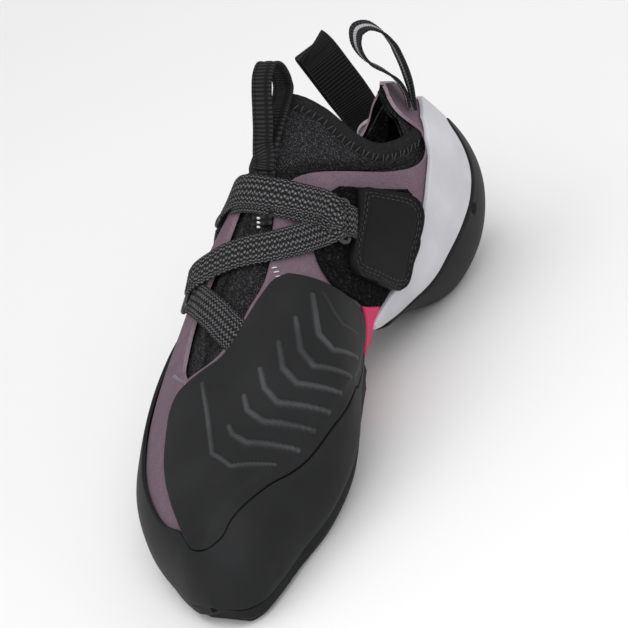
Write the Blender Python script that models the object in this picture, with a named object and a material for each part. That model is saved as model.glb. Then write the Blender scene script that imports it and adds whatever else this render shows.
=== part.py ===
"""Right climbing shoe with a two-strap closure, standing unbent on its sole.

Every curved piece is read from one function, place(), which gives a point on the last: station 0 is
the tip of the toe and station 1 the collar, turn 0 is the sole's middle line, 0.25 the medial side,
0.5 the instep ridge and 0.75 the lateral side. Metres, +Y to the toe, +Z up, -X medial.
The origin is on the floor under the heel.
"""

import math

import bpy
import numpy as np

# Driving sizes of the last, and the distance from the heel's back to the origin
LENGTH = 0.230
BALL_WIDTH = 0.092
INSTEP_HEIGHT = 0.0955
HEEL_HEIGHT = 0.075
HEEL_REST = 0.038

# Thicknesses and clearances
GAP = 0.0004
SEAT = 0.0002
SOCK_CLEARANCE = 0.0010
UPPER_WALL = 0.0016
SOCK_WALL = 0.0013
INSOLE_THICKNESS = 0.0015
SOLE_THICKNESS = 0.0041
RAND_THICKNESS = 0.0015
PATCH_THICKNESS = 0.0021
RIB_HEIGHT = 0.0008
HEEL_RAND_THICKNESS = 0.0016
HEEL_CUP_THICKNESS = 0.0022
ARCH_THICKNESS = 0.0012
PAD_THICKNESS = 0.0016
TAB_THICKNESS = 0.0022
WEBBING_THICKNESS = 0.0014
TAPE_THICKNESS = 0.0010

# Widths of the tapes, and the rings
STRAP_WIDTH = 0.0115
ANCHOR_WIDTH = 0.0125
FRONT_TAPE_WIDTH = 0.0090
HEEL_TAPE_WIDTH = 0.0150
WIRE_RADIUS = 0.0011
RING_DEPTH = 0.0062
MEDIAL_RING_SPAN = 0.0178
LATERAL_RING_SPAN = 0.0150

# Height of the last's underside above the floor
BED = SOLE_THICKNESS + GAP

# Sole: height of its upright edge, inset of the edge on the floor, share of the thickness lost at the
# arch, and how far the underside's low places are pressed flat
SOLE_SIDE = 0.0036
SOLE_BEVEL = 0.0036
SOLE_ARCH_THINNING = 0.45
SOLE_FLATTENING = 0.0005

# Sections of the last. Bottom and top points: y in lengths, z above the bed in heel heights (bottom)
# and instep heights (top). Middle line at bottom and top, and half widths, in ball widths.
# Split is the share of the section below its widest line, low and high its corner exponents.
SECTION_COLUMNS = (
    "station", "bottom_y", "bottom_z", "top_y", "top_z", "mid_bottom", "mid_top",
    "half_medial", "half_lateral", "split", "low", "high",
)
SECTIONS = (
    (0.00, 0.992, 0.087, 0.990, 0.094, -0.280, -0.280, 0.000, 0.000, 0.40, 2.2, 2.00),
    (0.03, 0.986, 0.020, 0.976, 0.204, -0.272, -0.272, 0.105, 0.088, 0.40, 2.8, 2.10),
    (0.07, 0.964, 0.000, 0.946, 0.277, -0.248, -0.253, 0.190, 0.188, 0.37, 3.2, 2.10),
    (0.12, 0.922, 0.000, 0.905, 0.335, -0.201, -0.216, 0.255, 0.305, 0.35, 3.5, 2.10),
    (0.19, 0.850, 0.004, 0.838, 0.382, -0.130, -0.165, 0.328, 0.420, 0.34, 3.7, 2.10),
    (0.27, 0.760, 0.020, 0.750, 0.440, -0.058, -0.113, 0.420, 0.485, 0.35, 3.6, 2.00),
    (0.35, 0.660, 0.067, 0.660, 0.539, 0.009, -0.060, 0.462, 0.485, 0.37, 3.3, 2.00),
    (0.43, 0.560, 0.140, 0.565, 0.675, 0.034, -0.030, 0.395, 0.445, 0.40, 3.0, 2.00),
    (0.52, 0.440, 0.188, 0.480, 0.812, 0.035, -0.010, 0.310, 0.400, 0.44, 2.7, 2.00),
    (0.60, 0.315, 0.135, 0.430, 0.916, 0.020, 0.000, 0.290, 0.335, 0.44, 2.6, 1.90),
    (0.67, 0.198, 0.013, 0.395, 1.000, 0.003, 0.000, 0.290, 0.305, 0.42, 2.5, 1.80),
    (0.74, 0.090, 0.027, 0.365, 1.052, -0.009, 0.000, 0.290, 0.300, 0.40, 2.4, 1.70),
    (0.81, 0.018, 0.207, 0.340, 1.084, -0.013, 0.000, 0.276, 0.288, 0.38, 2.2, 1.65),
    (0.88, 0.003, 0.473, 0.320, 1.105, -0.013, 0.000, 0.250, 0.270, 0.38, 2.1, 1.60),
    (0.94, 0.024, 0.740, 0.305, 1.120, -0.008, 0.000, 0.200, 0.215, 0.38, 2.0, 1.60),
    (1.00, 0.058, 1.000, 0.292, 1.126, 0.000, 0.000, 0.130, 0.135, 0.40, 2.0, 1.60),
)

# Edge of the throat and of the heel piece: turn of the upper's medial and lateral edges
THROAT_COLUMNS = ("station", "medial", "lateral")
THROAT = (
    (0.332, 0.582, 0.582), (0.345, 0.546, 0.593), (0.370, 0.514, 0.598), (0.415, 0.486, 0.600),
    (0.440, 0.469, 0.592), (0.480, 0.458, 0.574), (0.540, 0.458, 0.558), (0.600, 0.447, 0.555),
    (0.640, 0.428, 0.572), (0.680, 0.398, 0.602), (0.720, 0.362, 0.638), (0.760, 0.322, 0.678),
    (0.800, 0.289, 0.716), (0.840, 0.275, 0.760), (0.880, 0.270, 0.812), (0.920, 0.282, 0.853),
    (0.960, 0.262, 0.893), (1.000, 0.190, 0.965),
)

# Station of the sock's collar edge by distance from the heel, in turns
COLLAR_COLUMNS = ("turn", "medial", "lateral")
COLLAR = (
    (0.00, 1.000, 0.985), (0.08, 1.000, 0.965), (0.15, 1.000, 0.900), (0.22, 0.985, 0.850),
    (0.28, 0.885, 0.822), (0.30, 0.862, 0.816), (0.32, 0.835, 0.811), (0.345, 0.812, 0.812),
    (0.375, 0.838, 0.838), (0.400, 0.905, 0.905), (0.43, 0.965, 0.965), (0.46, 0.990, 0.990),
    (0.50, 0.995, 0.995),
)

# Lateral upper edge of the toe rand. Its medial edge follows the toe patch.
RAND_COLUMNS = ("station", "lateral")
RAND = (
    (0.046, 0.555), (0.070, 0.583), (0.090, 0.600), (0.110, 0.622), (0.144, 0.638), (0.182, 0.649),
    (0.224, 0.662), (0.285, 0.682), (0.320, 0.692), (0.368, 0.697), (0.414, 0.706), (0.450, 0.718),
    (0.490, 0.732),
)

# Paired edge points (station, turn) of the overlays, from the toe or the arch upwards
PATCH = (
    ((0.051, 0.496), (0.051, 0.516)), ((0.058, 0.462), (0.056, 0.546)),
    ((0.079, 0.429), (0.076, 0.562)), ((0.108, 0.416), (0.104, 0.569)),
    ((0.138, 0.401), (0.136, 0.576)), ((0.168, 0.384), (0.168, 0.583)),
    ((0.197, 0.367), (0.200, 0.588)), ((0.226, 0.346), (0.230, 0.593)),
    ((0.256, 0.331), (0.260, 0.597)), ((0.288, 0.320), (0.288, 0.597)),
    ((0.320, 0.308), (0.312, 0.585)), ((0.354, 0.288), (0.331, 0.552)),
    ((0.388, 0.264), (0.348, 0.520)), ((0.420, 0.236), (0.370, 0.501)),
    ((0.450, 0.215), (0.400, 0.484)), ((0.480, 0.205), (0.430, 0.464)),
    ((0.503, 0.212), (0.452, 0.446)), ((0.516, 0.234), (0.468, 0.420)),
)
HEEL_RAND = (
    ((0.528, 0.170), (0.530, 0.184)), ((0.556, 0.135), (0.558, 0.190)),
    ((0.590, 0.116), (0.588, 0.202)), ((0.625, 0.142), (0.622, 0.221)),
    ((0.660, 0.172), (0.656, 0.240)), ((0.696, 0.192), (0.692, 0.257)),
    ((0.738, 0.201), (0.732, 0.272)), ((0.778, 0.197), (0.776, 0.281)),
    ((0.820, 0.188), (0.820, 0.281)), ((0.862, 0.176), (0.866, 0.276)),
    ((0.905, 0.120), (0.918, 0.242)), ((0.944, 0.060), (0.964, 0.190)),
)
ARCH = (
    ((0.500, 0.020), (0.560, 0.020)), ((0.498, 0.070), (0.548, 0.060)),
    ((0.496, 0.120), (0.534, 0.105)), ((0.498, 0.165), (0.519, 0.150)),
    ((0.511, 0.198), (0.521, 0.186)), ((0.522, 0.224), (0.540, 0.196)),
)
PAD = (
    ((0.525, 0.243), (0.555, 0.199)), ((0.507, 0.285), (0.578, 0.209)),
    ((0.497, 0.318), (0.610, 0.226)), ((0.505, 0.352), (0.642, 0.245)),
    ((0.532, 0.372), (0.672, 0.259)), ((0.585, 0.377), (0.702, 0.272)),
    ((0.640, 0.374), (0.726, 0.284)), ((0.672, 0.366), (0.738, 0.300)),
)
TAB = (
    ((0.544, 0.272), (0.585, 0.206)), ((0.537, 0.288), (0.606, 0.203)),
    ((0.546, 0.305), (0.634, 0.230)), ((0.568, 0.314), (0.661, 0.245)),
    ((0.600, 0.322), (0.686, 0.258)), ((0.645, 0.337), (0.708, 0.271)),
    ((0.677, 0.348), (0.722, 0.286)), ((0.692, 0.343), (0.723, 0.303)),
)

# Ribs of the toe patch: bend and the two ends of each chevron, in the patch's own rows and columns
RIB_COLUMNS = ("end_row", "end_column", "bend_row", "bend_column", "foot_row", "foot_column")
RIBS = (
    (16.1, 0.62, 14.2, 0.26, 14.6, 0.06),
    (14.8, 0.66, 12.4, 0.36, 12.6, 0.05),
    (13.4, 0.70, 10.9, 0.42, 11.0, 0.05),
    (12.0, 0.74, 9.6, 0.48, 9.4, 0.06),
    (10.6, 0.76, 8.3, 0.55, 7.9, 0.08),
)

# Middle lines of the straps: station, turn and height in webbing thicknesses above the upper
STRAP_COLUMNS = ("station", "turn", "lift")
UPPER_STRAP = (
    (0.610, 0.361, 2.8), (0.605, 0.380, 2.9), (0.600, 0.402, 2.6), (0.597, 0.432, 1.4),
    (0.595, 0.475, 0.8), (0.598, 0.513, 0.7), (0.602, 0.550, 0.6), (0.600, 0.580, 0.6),
    (0.594, 0.604, 0.7),
)
LOWER_STRAP = (
    (0.576, 0.3535, 1.5), (0.560, 0.367, 1.5), (0.540, 0.385, 1.4), (0.522, 0.408, 0.8),
    (0.505, 0.440, 0.5), (0.492, 0.478, 0.5), (0.485, 0.520, 0.5), (0.477, 0.560, 0.6),
    (0.472, 0.600, 1.6), (0.468, 0.630, 1.9),
)
ANCHOR = (
    (0.448, 0.622, 0.2), (0.436, 0.598, 0.2), (0.420, 0.570, 0.2), (0.403, 0.540, 0.2),
    (0.388, 0.516, 0.2),
)
LATERAL_ANCHOR = (
    (0.590, 0.645, 0.2), (0.585, 0.662, 0.2), (0.579, 0.680, 0.2), (0.572, 0.700, 0.2),
)

# Rings: station and turn of the middle, and height above the upper in wire radii
RINGS = {
    "ring_medial": (0.600, 0.3425, 3.4),
    "ring_lateral_upper": (0.592, 0.6255, 1.0),
    "ring_lateral_lower": (0.462, 0.6510, 1.0),
}

# Front pull loop. Both strands lie on the sock (station, height in tape thicknesses). The free top
# is forward and up from the collar's front, in loop heights.
FRONT_LOOP_HEIGHT = 0.0145
FRONT_LOOP_TURN = 0.482
FRONT_LOOP_UNDER = ((0.640, 1.2), (0.700, 1.2), (0.780, 1.2), (0.850, 1.3), (0.910, 1.4), (0.965, 1.6))
FRONT_LOOP_TOP = (
    (-0.06, 0.22), (-0.11, 0.50), (-0.05, 0.82), (0.16, 1.00), (0.46, 0.88), (0.72, 0.58),
    (0.98, 0.18), (1.24, -0.22), (1.48, -0.54),
)
FRONT_LOOP_OVER = ((0.665, 3.2), (0.641, 2.8))

# Heel pull loops: base (station, turn, height above the rand in tape thicknesses), then the way
# inward, forward and up from it, in loop heights
HEEL_LOOP_HEIGHT = 0.040
MEDIAL_LOOP_BASE = (0.932, 0.260, 1.6)
MEDIAL_LOOP_BASE_WIDTH = 0.35
MEDIAL_LOOP = (
    (-0.010, 0.030, -0.060), (0.005, -0.015, 0.030), (0.030, -0.080, 0.150),
    (0.070, -0.145, 0.280), (0.115, -0.195, 0.410), (0.165, -0.230, 0.520),
    (0.245, -0.245, 0.635), (0.340, -0.220, 0.715), (0.420, -0.155, 0.725),
    (0.430, -0.085, 0.645), (0.395, -0.040, 0.545), (0.325, -0.025, 0.440),
    (0.215, -0.045, 0.330), (0.125, -0.050, 0.225), (0.065, -0.020, 0.105),
    (0.030, 0.050, -0.020),
)
LATERAL_LOOP_BASE = (0.900, 0.850, 0.2)
LATERAL_LOOP = (
    (0.000, 0.000, 0.000), (-0.002, 0.000, 0.100), (-0.010, 0.015, 0.250), (-0.018, 0.050, 0.440),
    (-0.025, 0.115, 0.690), (-0.025, 0.180, 0.920), (-0.028, 0.218, 1.030), (-0.050, 0.232, 1.080),
    (-0.080, 0.208, 1.040), (-0.098, 0.160, 0.920), (-0.110, 0.085, 0.690), (-0.098, 0.025, 0.440),
    (-0.075, -0.015, 0.250), (-0.048, -0.030, 0.110), (-0.026, -0.026, 0.010),
)


def table(rows, columns):
    """Columns of a table by name."""
    block = np.array(rows, dtype=float)
    return {name: block[:, k] for k, name in enumerate(columns)}


def smooth(x, knots, values):
    """Cubic curve through a table's values."""
    x = np.clip(np.asarray(x, dtype=float), knots[0], knots[-1])
    k = np.clip(np.searchsorted(knots, x, side="right") - 1, 0, len(knots) - 2)
    span = knots[k + 1] - knots[k]
    t = (x - knots[k]) / span
    slope = np.gradient(values, knots)
    return (
        (2 * t**3 - 3 * t**2 + 1) * values[k]
        + (t**3 - 2 * t**2 + t) * span * slope[k]
        + (3 * t**2 - 2 * t**3) * values[k + 1]
        + (t**3 - t**2) * span * slope[k + 1]
    )


LAST = table(SECTIONS, SECTION_COLUMNS)
THROAT_EDGE = table(THROAT, THROAT_COLUMNS)
COLLAR_EDGE = table(COLLAR, COLLAR_COLUMNS)
RAND_EDGE = table(RAND, RAND_COLUMNS)


def section_value(name, station):
    return smooth(station, LAST["station"], LAST[name])


def on_last(station, turn):
    """Point of the last at a station and a turn."""
    station, turn = np.broadcast_arrays(np.asarray(station, float), np.asarray(turn, float))
    bottom_y = section_value("bottom_y", station) * LENGTH - HEEL_REST
    top_y = section_value("top_y", station) * LENGTH - HEEL_REST
    bottom_z = BED + section_value("bottom_z", station) * HEEL_HEIGHT
    top_z = BED + section_value("top_z", station) * INSTEP_HEIGHT
    angle = 2 * math.pi * turn
    up, side = -np.cos(angle), np.sin(angle)
    corner = 2 / np.where(up < 0, section_value("low", station), section_value("high", station))
    side = np.sign(side) * np.abs(side) ** corner
    up = np.sign(up) * np.abs(up) ** corner
    split = section_value("split", station)
    rise = split + np.where(up < 0, up * split, up * (1 - split))
    half = np.where(side > 0, section_value("half_medial", station), section_value("half_lateral", station))
    low, high = section_value("mid_bottom", station), section_value("mid_top", station)
    x = (low + (high - low) * rise - side * half) * BALL_WIDTH
    return np.stack([x, bottom_y + (top_y - bottom_y) * rise, bottom_z + (top_z - bottom_z) * rise], -1)


def outward(station, turn):
    """Outward unit normal of the last."""
    step = 0.002
    ahead, behind = np.clip(station + step, 0, 1), np.clip(station - step, 0.004, 1)
    along = on_last(ahead, turn) - on_last(behind, turn)
    around = on_last(station, turn + step) - on_last(station, turn - step)
    normal = np.cross(along, around)
    return normal / np.linalg.norm(normal, axis=-1, keepdims=True)


def place(station, turn, height=0.0):
    """Point at a height above the last."""
    station, turn = np.broadcast_arrays(np.asarray(station, float), np.asarray(turn, float))
    return on_last(station, turn) + outward(station, turn) * np.asarray(height, float)[..., None]


def material(name, colour, roughness, metallic=0.0):
    made = bpy.data.materials.new(name)
    made.use_nodes = True
    shader = made.node_tree.nodes["Principled BSDF"]
    shader.inputs["Base Color"].default_value = (*colour, 1.0)
    shader.inputs["Roughness"].default_value = roughness
    shader.inputs["Metallic"].default_value = metallic
    return made


def encloses(points, faces):
    """Signed volume inside faces that all turn the same way round."""
    total = 0.0
    for face in faces:
        first = points[face[0]]
        for b, c in zip(face[1:-1], face[2:]):
            total += np.dot(first, np.cross(points[b], points[c]))
    return total / 6


def add_object(name, points, faces, look):
    """Object of a closed mesh, its faces pointing out."""
    points = np.array(points, dtype=float)
    if encloses(points, faces) < 0:
        faces = [face[::-1] for face in faces]
    mesh = bpy.data.meshes.new(name)
    mesh.from_pydata(points.tolist(), [], [list(face) for face in faces])
    mesh.shade_smooth()
    mesh.set_sharp_from_angle(angle=math.radians(40))
    mesh.materials.append(look)
    made = bpy.data.objects.new(name, mesh)
    bpy.context.collection.objects.link(made)
    return made


def shell_mesh(outer, inner, kept, joined=None, pole=None):
    """Points and faces of a wall between two grids of points, where kept says so cell by cell.

    joined marks the rows whose first and last columns are one point. pole holds the outer and
    inner points that close the first row. Each outer point is followed by its inner point.
    """
    rows, columns = outer.shape[:2]
    joined = np.zeros(rows, bool) if joined is None else joined
    points, numbers = [], {}

    def number(i, j):
        key = (i, 0 if joined[i] and j == columns - 1 else j)
        if key not in numbers:
            numbers[key] = len(points)
            points.extend([outer[key], inner[key]])
        return numbers[key]

    front = []
    for i in range(rows - 1):
        for j in range(columns - 1):
            if kept[i, j]:
                front.append([number(i, j), number(i + 1, j), number(i + 1, j + 1), number(i, j + 1)])
    if pole is not None:
        tip_number = len(points)
        points.extend(pole)
        front += [[tip_number, number(0, j), number(0, j + 1)] for j in range(columns - 1)]
    edges = {(face[k - 1], face[k]) for face in front for k in range(len(face))}
    back = [[corner + 1 for corner in reversed(face)] for face in front]
    rim = [[b, a, a + 1, b + 1] for a, b in sorted(edges) if (b, a) not in edges]
    return points, front + back + rim


def shell(name, stations, turns, low, high, look, kept=None, joined=None, pole=None):
    """Wall between two heights above the last, over a grid of stations and turns."""
    rows, columns = turns.shape
    kept = np.ones((rows - 1, columns - 1), bool) if kept is None else kept
    outer, inner = place(stations, turns, high), place(stations, turns, low)
    points, faces = shell_mesh(outer, inner, kept, joined, pole)
    return add_object(name, points, faces, look)


def strip_grid(pairs, rows, columns):
    """Stations and turns between paired edge points, smoothed along the pairs."""
    block = np.array(pairs, dtype=float)
    knots = np.linspace(0, 1, len(block))
    along = np.linspace(0, 1, rows)
    curve = np.stack([[smooth(along, knots, block[:, side, axis]) for axis in (0, 1)] for side in (0, 1)])
    across = np.linspace(0, 1, columns)[:, None]
    grid = curve[0][:, None, :] * (1 - across) + curve[1][:, None, :] * across
    return grid[0].T, grid[1].T


def spread(start, end, count):
    """Values from start to end, row by row."""
    share = np.linspace(0, 1, count)
    return np.asarray(start)[:, None] * (1 - share) + np.asarray(end)[:, None] * share


def tip(height):
    """Point of the toe's tip at a height in front of the last."""
    middle = on_last(np.array([0.0]), np.array([0.25]))[0]
    return middle + np.array([0.0, height, 0.0])


# Rows of stations that the upper, the rand and the sole share
STATIONS = np.array([
    0.015, 0.032, 0.046, 0.066, 0.090, 0.120, 0.155, 0.195, 0.235, 0.270, 0.302, 0.332, 0.360, 0.390, 0.420,
    0.450, 0.480, 0.510, 0.540, 0.570, 0.600, 0.635, 0.670, 0.705, 0.740, 0.775, 0.810, 0.845, 0.880,
    0.910, 0.940, 0.970, 1.000,
])
THROAT_ROW = 11
SOLE_FIRST_ROW, SOLE_LAST_ROW = 3, 15
RAND_FIRST_OPEN_ROW = 2
RAND_LAST_ROW = 16
JOINT = 0.0035
UNDERSIDE_TURNS = np.array([-0.125, -0.098, -0.068, -0.034, 0.0, 0.034, 0.068, 0.098, 0.125])
SIDE_CELLS = 8
WELT_TURN = 0.162

# Share of the heel piece's half turn that its middle cells take where it is narrow
HEEL_PIECE_FLOOR = 0.60

# Insole's edge, joint between heel cup and heel rand, and the rand's distance from the upper's edge, in
# turns
INSOLE_TURN = 0.112
CUP_JOINT = 0.008
RAND_MARGIN = 0.004

# Heel cup: its first and last station, and the spot that stands on the floor
CUP_STATIONS = (0.575, 0.852)
CUP_REST_STATION = 0.695
CUP_REST_REACH = 0.036
CUP_REST_TURN = 0.060
CUP_REST_FLATNESS = 1.7

# Outsole: stations over which it thins at the arch, share of its height that the upright edge may
# take, and the lean of that edge in bevel widths
SOLE_THIN_START, SOLE_THIN_END = 0.40, 0.48
SOLE_SIDE_SHARE = 0.6
SOLE_SIDE_LEAN = 0.1

# Directions, in stations and turns, of the rings' long sides
RING_AIM = (0.03, 0.012)

# Across the heel loops' tape: direction at the base and at the top
MEDIAL_TAPE_SIDES = ((-0.68, 0.62, 0.40), (-0.50, 0.70, 0.50))
LATERAL_TAPE_SIDES = ((-0.68, -0.71, 0.19), (-0.58, -0.79, 0.19))


def upper_edges(stations):
    knots = THROAT_EDGE["station"]
    medial = smooth(stations, knots, THROAT_EDGE["medial"])
    lateral = smooth(stations, knots, THROAT_EDGE["lateral"])
    return medial, lateral


def make_upper(look):
    """Hollow upper, open at the throat, the collar and underneath where the sole closes it."""
    medial, lateral = upper_edges(STATIONS)
    side = UNDERSIDE_TURNS[-1]
    low_medial = np.minimum(side, HEEL_PIECE_FLOOR * medial)
    low_lateral = np.minimum(side, HEEL_PIECE_FLOOR * (1 - lateral))
    shrink = np.where(UNDERSIDE_TURNS < 0, low_lateral[:, None], low_medial[:, None]) / side
    turns = np.hstack([
        spread(lateral - 1, -low_lateral, SIDE_CELLS + 1)[:, :-1],
        shrink * UNDERSIDE_TURNS,
        spread(low_medial, medial, SIDE_CELLS + 1)[:, 1:],
    ])
    stations = STATIONS[:, None] * np.ones(turns.shape[1])
    kept = np.ones((turns.shape[0] - 1, turns.shape[1] - 1), bool)
    first = SIDE_CELLS + 1
    kept[SOLE_FIRST_ROW:SOLE_LAST_ROW, first:first + len(UNDERSIDE_TURNS) - 3] = False
    joined = np.arange(len(STATIONS)) <= THROAT_ROW
    return shell(
        "upper", stations, turns, -UPPER_WALL, 0.0, look, kept, joined, (tip(0.0), tip(-UPPER_WALL)),
    )


def collar_station(turn):
    """Station of the collar's edge at a turn."""
    from_heel = np.where(turn > 0.5, 1 - turn, turn)
    medial = smooth(from_heel, COLLAR_EDGE["turn"], COLLAR_EDGE["medial"])
    lateral = smooth(from_heel, COLLAR_EDGE["turn"], COLLAR_EDGE["lateral"])
    return np.where(turn > 0.5, lateral, medial)


def make_sock(look):
    """Stretch sock that fills the throat and makes the collar, tucked under the upper's edge."""
    start, closed, rows, middle = 0.300, 0.360, 24, 13
    beside = np.array([-0.045, -0.020, 0.013])
    rise = 0.030
    columns = 2 * len(beside) + middle

    def turns_at(stations):
        medial, lateral = upper_edges(np.maximum(stations, closed))
        made = []
        for k in range(columns):
            if k < len(beside):
                made.append(medial[:, k] + beside[k])
            elif k >= columns - len(beside):
                made.append(lateral[:, k] - beside[columns - 1 - k])
            else:
                low, high = medial[:, k] + rise, lateral[:, k] - rise
                made.append(low + (high - low) * (k - len(beside)) / (middle - 1))
        return np.stack(made, -1)

    end = np.ones((1, columns))
    for _ in range(60):
        end = 0.7 * end + 0.3 * collar_station(turns_at(end))
    share = np.linspace(0, 1, rows)[:, None]
    stations = start + (end - start) * share
    turns = turns_at(stations)
    tucked = -(UPPER_WALL + GAP + SOCK_CLEARANCE)
    free = np.zeros(columns)
    free[len(beside):-len(beside)] = 1
    open_share = np.clip((stations - closed - 0.012) / 0.03, 0, 1)
    high = tucked + (-SEAT - tucked) * free * open_share
    return shell("sock", stations, turns, high - SOCK_WALL, high, look)


def make_insole(look):
    """Thin insole on the upper's floor, over the opening that the sole closes."""
    stations = STATIONS[1:21]
    turns = np.ones(len(stations))[:, None] * np.linspace(-INSOLE_TURN, INSOLE_TURN, 7)
    grid = stations[:, None] * np.ones(turns.shape[1])
    low = -(UPPER_WALL + GAP)
    return shell("insole", grid, turns, low - INSOLE_THICKNESS, low, look)


def make_outsole(look):
    """Forefoot sole: its top follows the last, its underside lies on the floor and rises at the arch."""
    stations = np.concatenate([[0.006], STATIONS[:RAND_LAST_ROW + 1]])
    top_turns = np.concatenate([[-WELT_TURN], UNDERSIDE_TURNS, [WELT_TURN]])
    top = place(stations[:, None], top_turns[None, :], GAP)
    spine = on_last(stations, np.zeros(len(stations)))[:, 2] - GAP - SOLE_FLATTENING
    to_arch = np.clip((stations - SOLE_THIN_START) / (SOLE_THIN_END - SOLE_THIN_START), 0, 1)
    thinner = 1 - SOLE_ARCH_THINNING * to_arch
    under_z = np.maximum(spine - SOLE_THICKNESS * thinner, 0.0)
    sides = []
    for turn, way in ((WELT_TURN, 1), (-WELT_TURN, -1)):
        rim = place(stations, np.full(len(stations), turn), GAP + RAND_THICKNESS)
        along = unit(np.gradient(rim[:, :2], axis=0))
        inward = np.stack([-along[:, 1], along[:, 0], np.zeros(len(along))], -1) * way
        drop = np.minimum(SOLE_SIDE, SOLE_SIDE_SHARE * (rim[:, 2] - under_z))
        side = rim + inward * SOLE_SIDE_LEAN * SOLE_BEVEL
        side[:, 2] -= drop
        foot = rim + inward * SOLE_BEVEL
        foot[:, 2] = under_z
        sides.append((rim, side, foot))
    rings = []
    for row in range(len(stations)):
        (rim_m, side_m, foot_m), (rim_l, side_l, foot_l) = [[line[row] for line in side] for side in sides]
        middle = (foot_m + foot_l) / 2
        rings.append([*top[row], rim_m, side_m, foot_m, middle, foot_l, side_l, rim_l])
    rings = np.array(rings)
    count = rings.shape[1]
    points = rings.reshape(-1, 3)
    faces = []
    for row in range(len(stations) - 1):
        for k in range(count):
            a, b = row * count + k, row * count + (k + 1) % count
            faces.append([a, b, b + count, a + count])
    faces.append(list(range(count))[::-1])
    faces.append([(len(stations) - 1) * count + k for k in range(count)])
    return add_object("outsole", points, faces, look)


def make_toe_rand(look):
    """Rubber band around the toe, above the sole's edge, up to the toe patch and the bare upper."""
    stations = STATIONS[:RAND_LAST_ROW + 1]
    patch = np.array(PATCH, dtype=float)[:, 0]
    medial = smooth(stations, patch[:, 0], patch[:, 1]) - JOINT
    lateral = smooth(stations, RAND_EDGE["station"], RAND_EDGE["lateral"])
    foot = WELT_TURN + 2 * JOINT
    ones = np.ones(len(stations))
    turns = np.hstack([
        spread(foot * ones, medial, 7),
        spread(medial, lateral, 7)[:, 1:-1],
        spread(lateral, (1 - foot) * ones, 7),
    ])
    grid = stations[:, None] * np.ones(turns.shape[1])
    kept = np.ones((turns.shape[0] - 1, turns.shape[1] - 1), bool)
    kept[RAND_FIRST_OPEN_ROW:, 6:12] = False
    ends = (tip(GAP + RAND_THICKNESS), tip(GAP + SEAT))
    return shell("toe_rand", grid, turns, GAP + SEAT, GAP + RAND_THICKNESS, look, kept, pole=ends)


def rib_height(row, column):
    """Height of the chevron ribs on the toe patch."""
    ribs = table(RIBS, RIB_COLUMNS)
    half = 0.34
    height = np.zeros(np.broadcast(row, column).shape)
    for k in range(len(RIBS)):
        bend = ribs["bend_column"][k]
        slope_up = (ribs["end_row"][k] - ribs["bend_row"][k]) / (ribs["end_column"][k] - bend)
        slope_down = (ribs["foot_row"][k] - ribs["bend_row"][k]) / (ribs["foot_column"][k] - bend)
        line = ribs["bend_row"][k] + np.where(column > bend, slope_up, slope_down) * (column - bend)
        inside = (column < ribs["end_column"][k]) & (column > ribs["foot_column"][k])
        height = np.where(inside & (np.abs(row - line) < half), RIB_HEIGHT, height)
    return height


def make_toe_patch(look):
    """Rubber patch over the toes, with its raised chevrons."""
    rows, columns = 35, 12
    stations, turns = strip_grid(PATCH, rows, columns)
    row = np.linspace(0, len(PATCH) - 1, rows)[:, None]
    column = np.linspace(0, 1, columns)[None, :]
    high = GAP + PATCH_THICKNESS + rib_height(row, column)
    low = np.full(high.shape, GAP + SEAT)
    return shell("toe_patch", stations, turns, low, high, look)


def make_overlay(name, pairs, rows, columns, low, thickness, look):
    """Flat piece on the last between paired edge points."""
    stations, turns = strip_grid(pairs, rows, columns)
    return shell(name, stations, turns, low, low + thickness, look)


def make_heel_rand(look):
    """White rand: two arms from the arch to the heel, joined behind the heel above the cup."""
    rows, joins, middle, across = 23, 18, 9, 5
    stations, turns = strip_grid(HEEL_RAND, rows, across)
    back = spread(-turns[:, 0], turns[:, 0], middle + 2)[:, 1:-1]
    back_station = np.repeat(stations[:, :1], middle, axis=1)
    under_edge = 1 - upper_edges(stations[:, -1])[1] - RAND_MARGIN
    lateral = spread(turns[:, 0], np.minimum(turns[:, -1], under_edge), across)
    all_turns = np.hstack([-lateral[:, ::-1], back, turns])
    all_stations = np.hstack([stations[:, ::-1], back_station, stations])
    kept = np.ones((rows - 1, all_turns.shape[1] - 1), bool)
    kept[:joins, across - 1:across + middle] = False
    return shell(
        "heel_rand", all_stations, all_turns, GAP + SEAT, GAP + HEEL_RAND_THICKNESS, look, kept,
    )


def make_heel_cup(look):
    """Heel cup, flat where it stands on the floor."""
    block = np.array(HEEL_RAND, dtype=float)
    stations = np.linspace(*CUP_STATIONS, 18)
    edge = smooth(stations, block[:, 0, 0], block[:, 0, 1]) - CUP_JOINT
    turns = edge[:, None] * np.linspace(-1, 1, 13)
    grid = stations[:, None] * np.ones(turns.shape[1])
    outer = place(grid, turns, GAP + HEEL_CUP_THICKNESS)
    inner = place(grid, turns, GAP + SEAT)
    off_rest = ((grid - CUP_REST_STATION) / CUP_REST_REACH) ** 2 + (turns / CUP_REST_TURN) ** 2
    down = np.clip(CUP_REST_FLATNESS * np.exp(-off_rest), 0, 1)
    outer[..., 2] *= 1 - down
    outer[..., 2] = np.maximum(outer[..., 2], 0.0)
    points, faces = shell_mesh(outer, inner, np.ones((turns.shape[0] - 1, turns.shape[1] - 1), bool))
    return add_object("heel_cup", points, faces, look)


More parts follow.
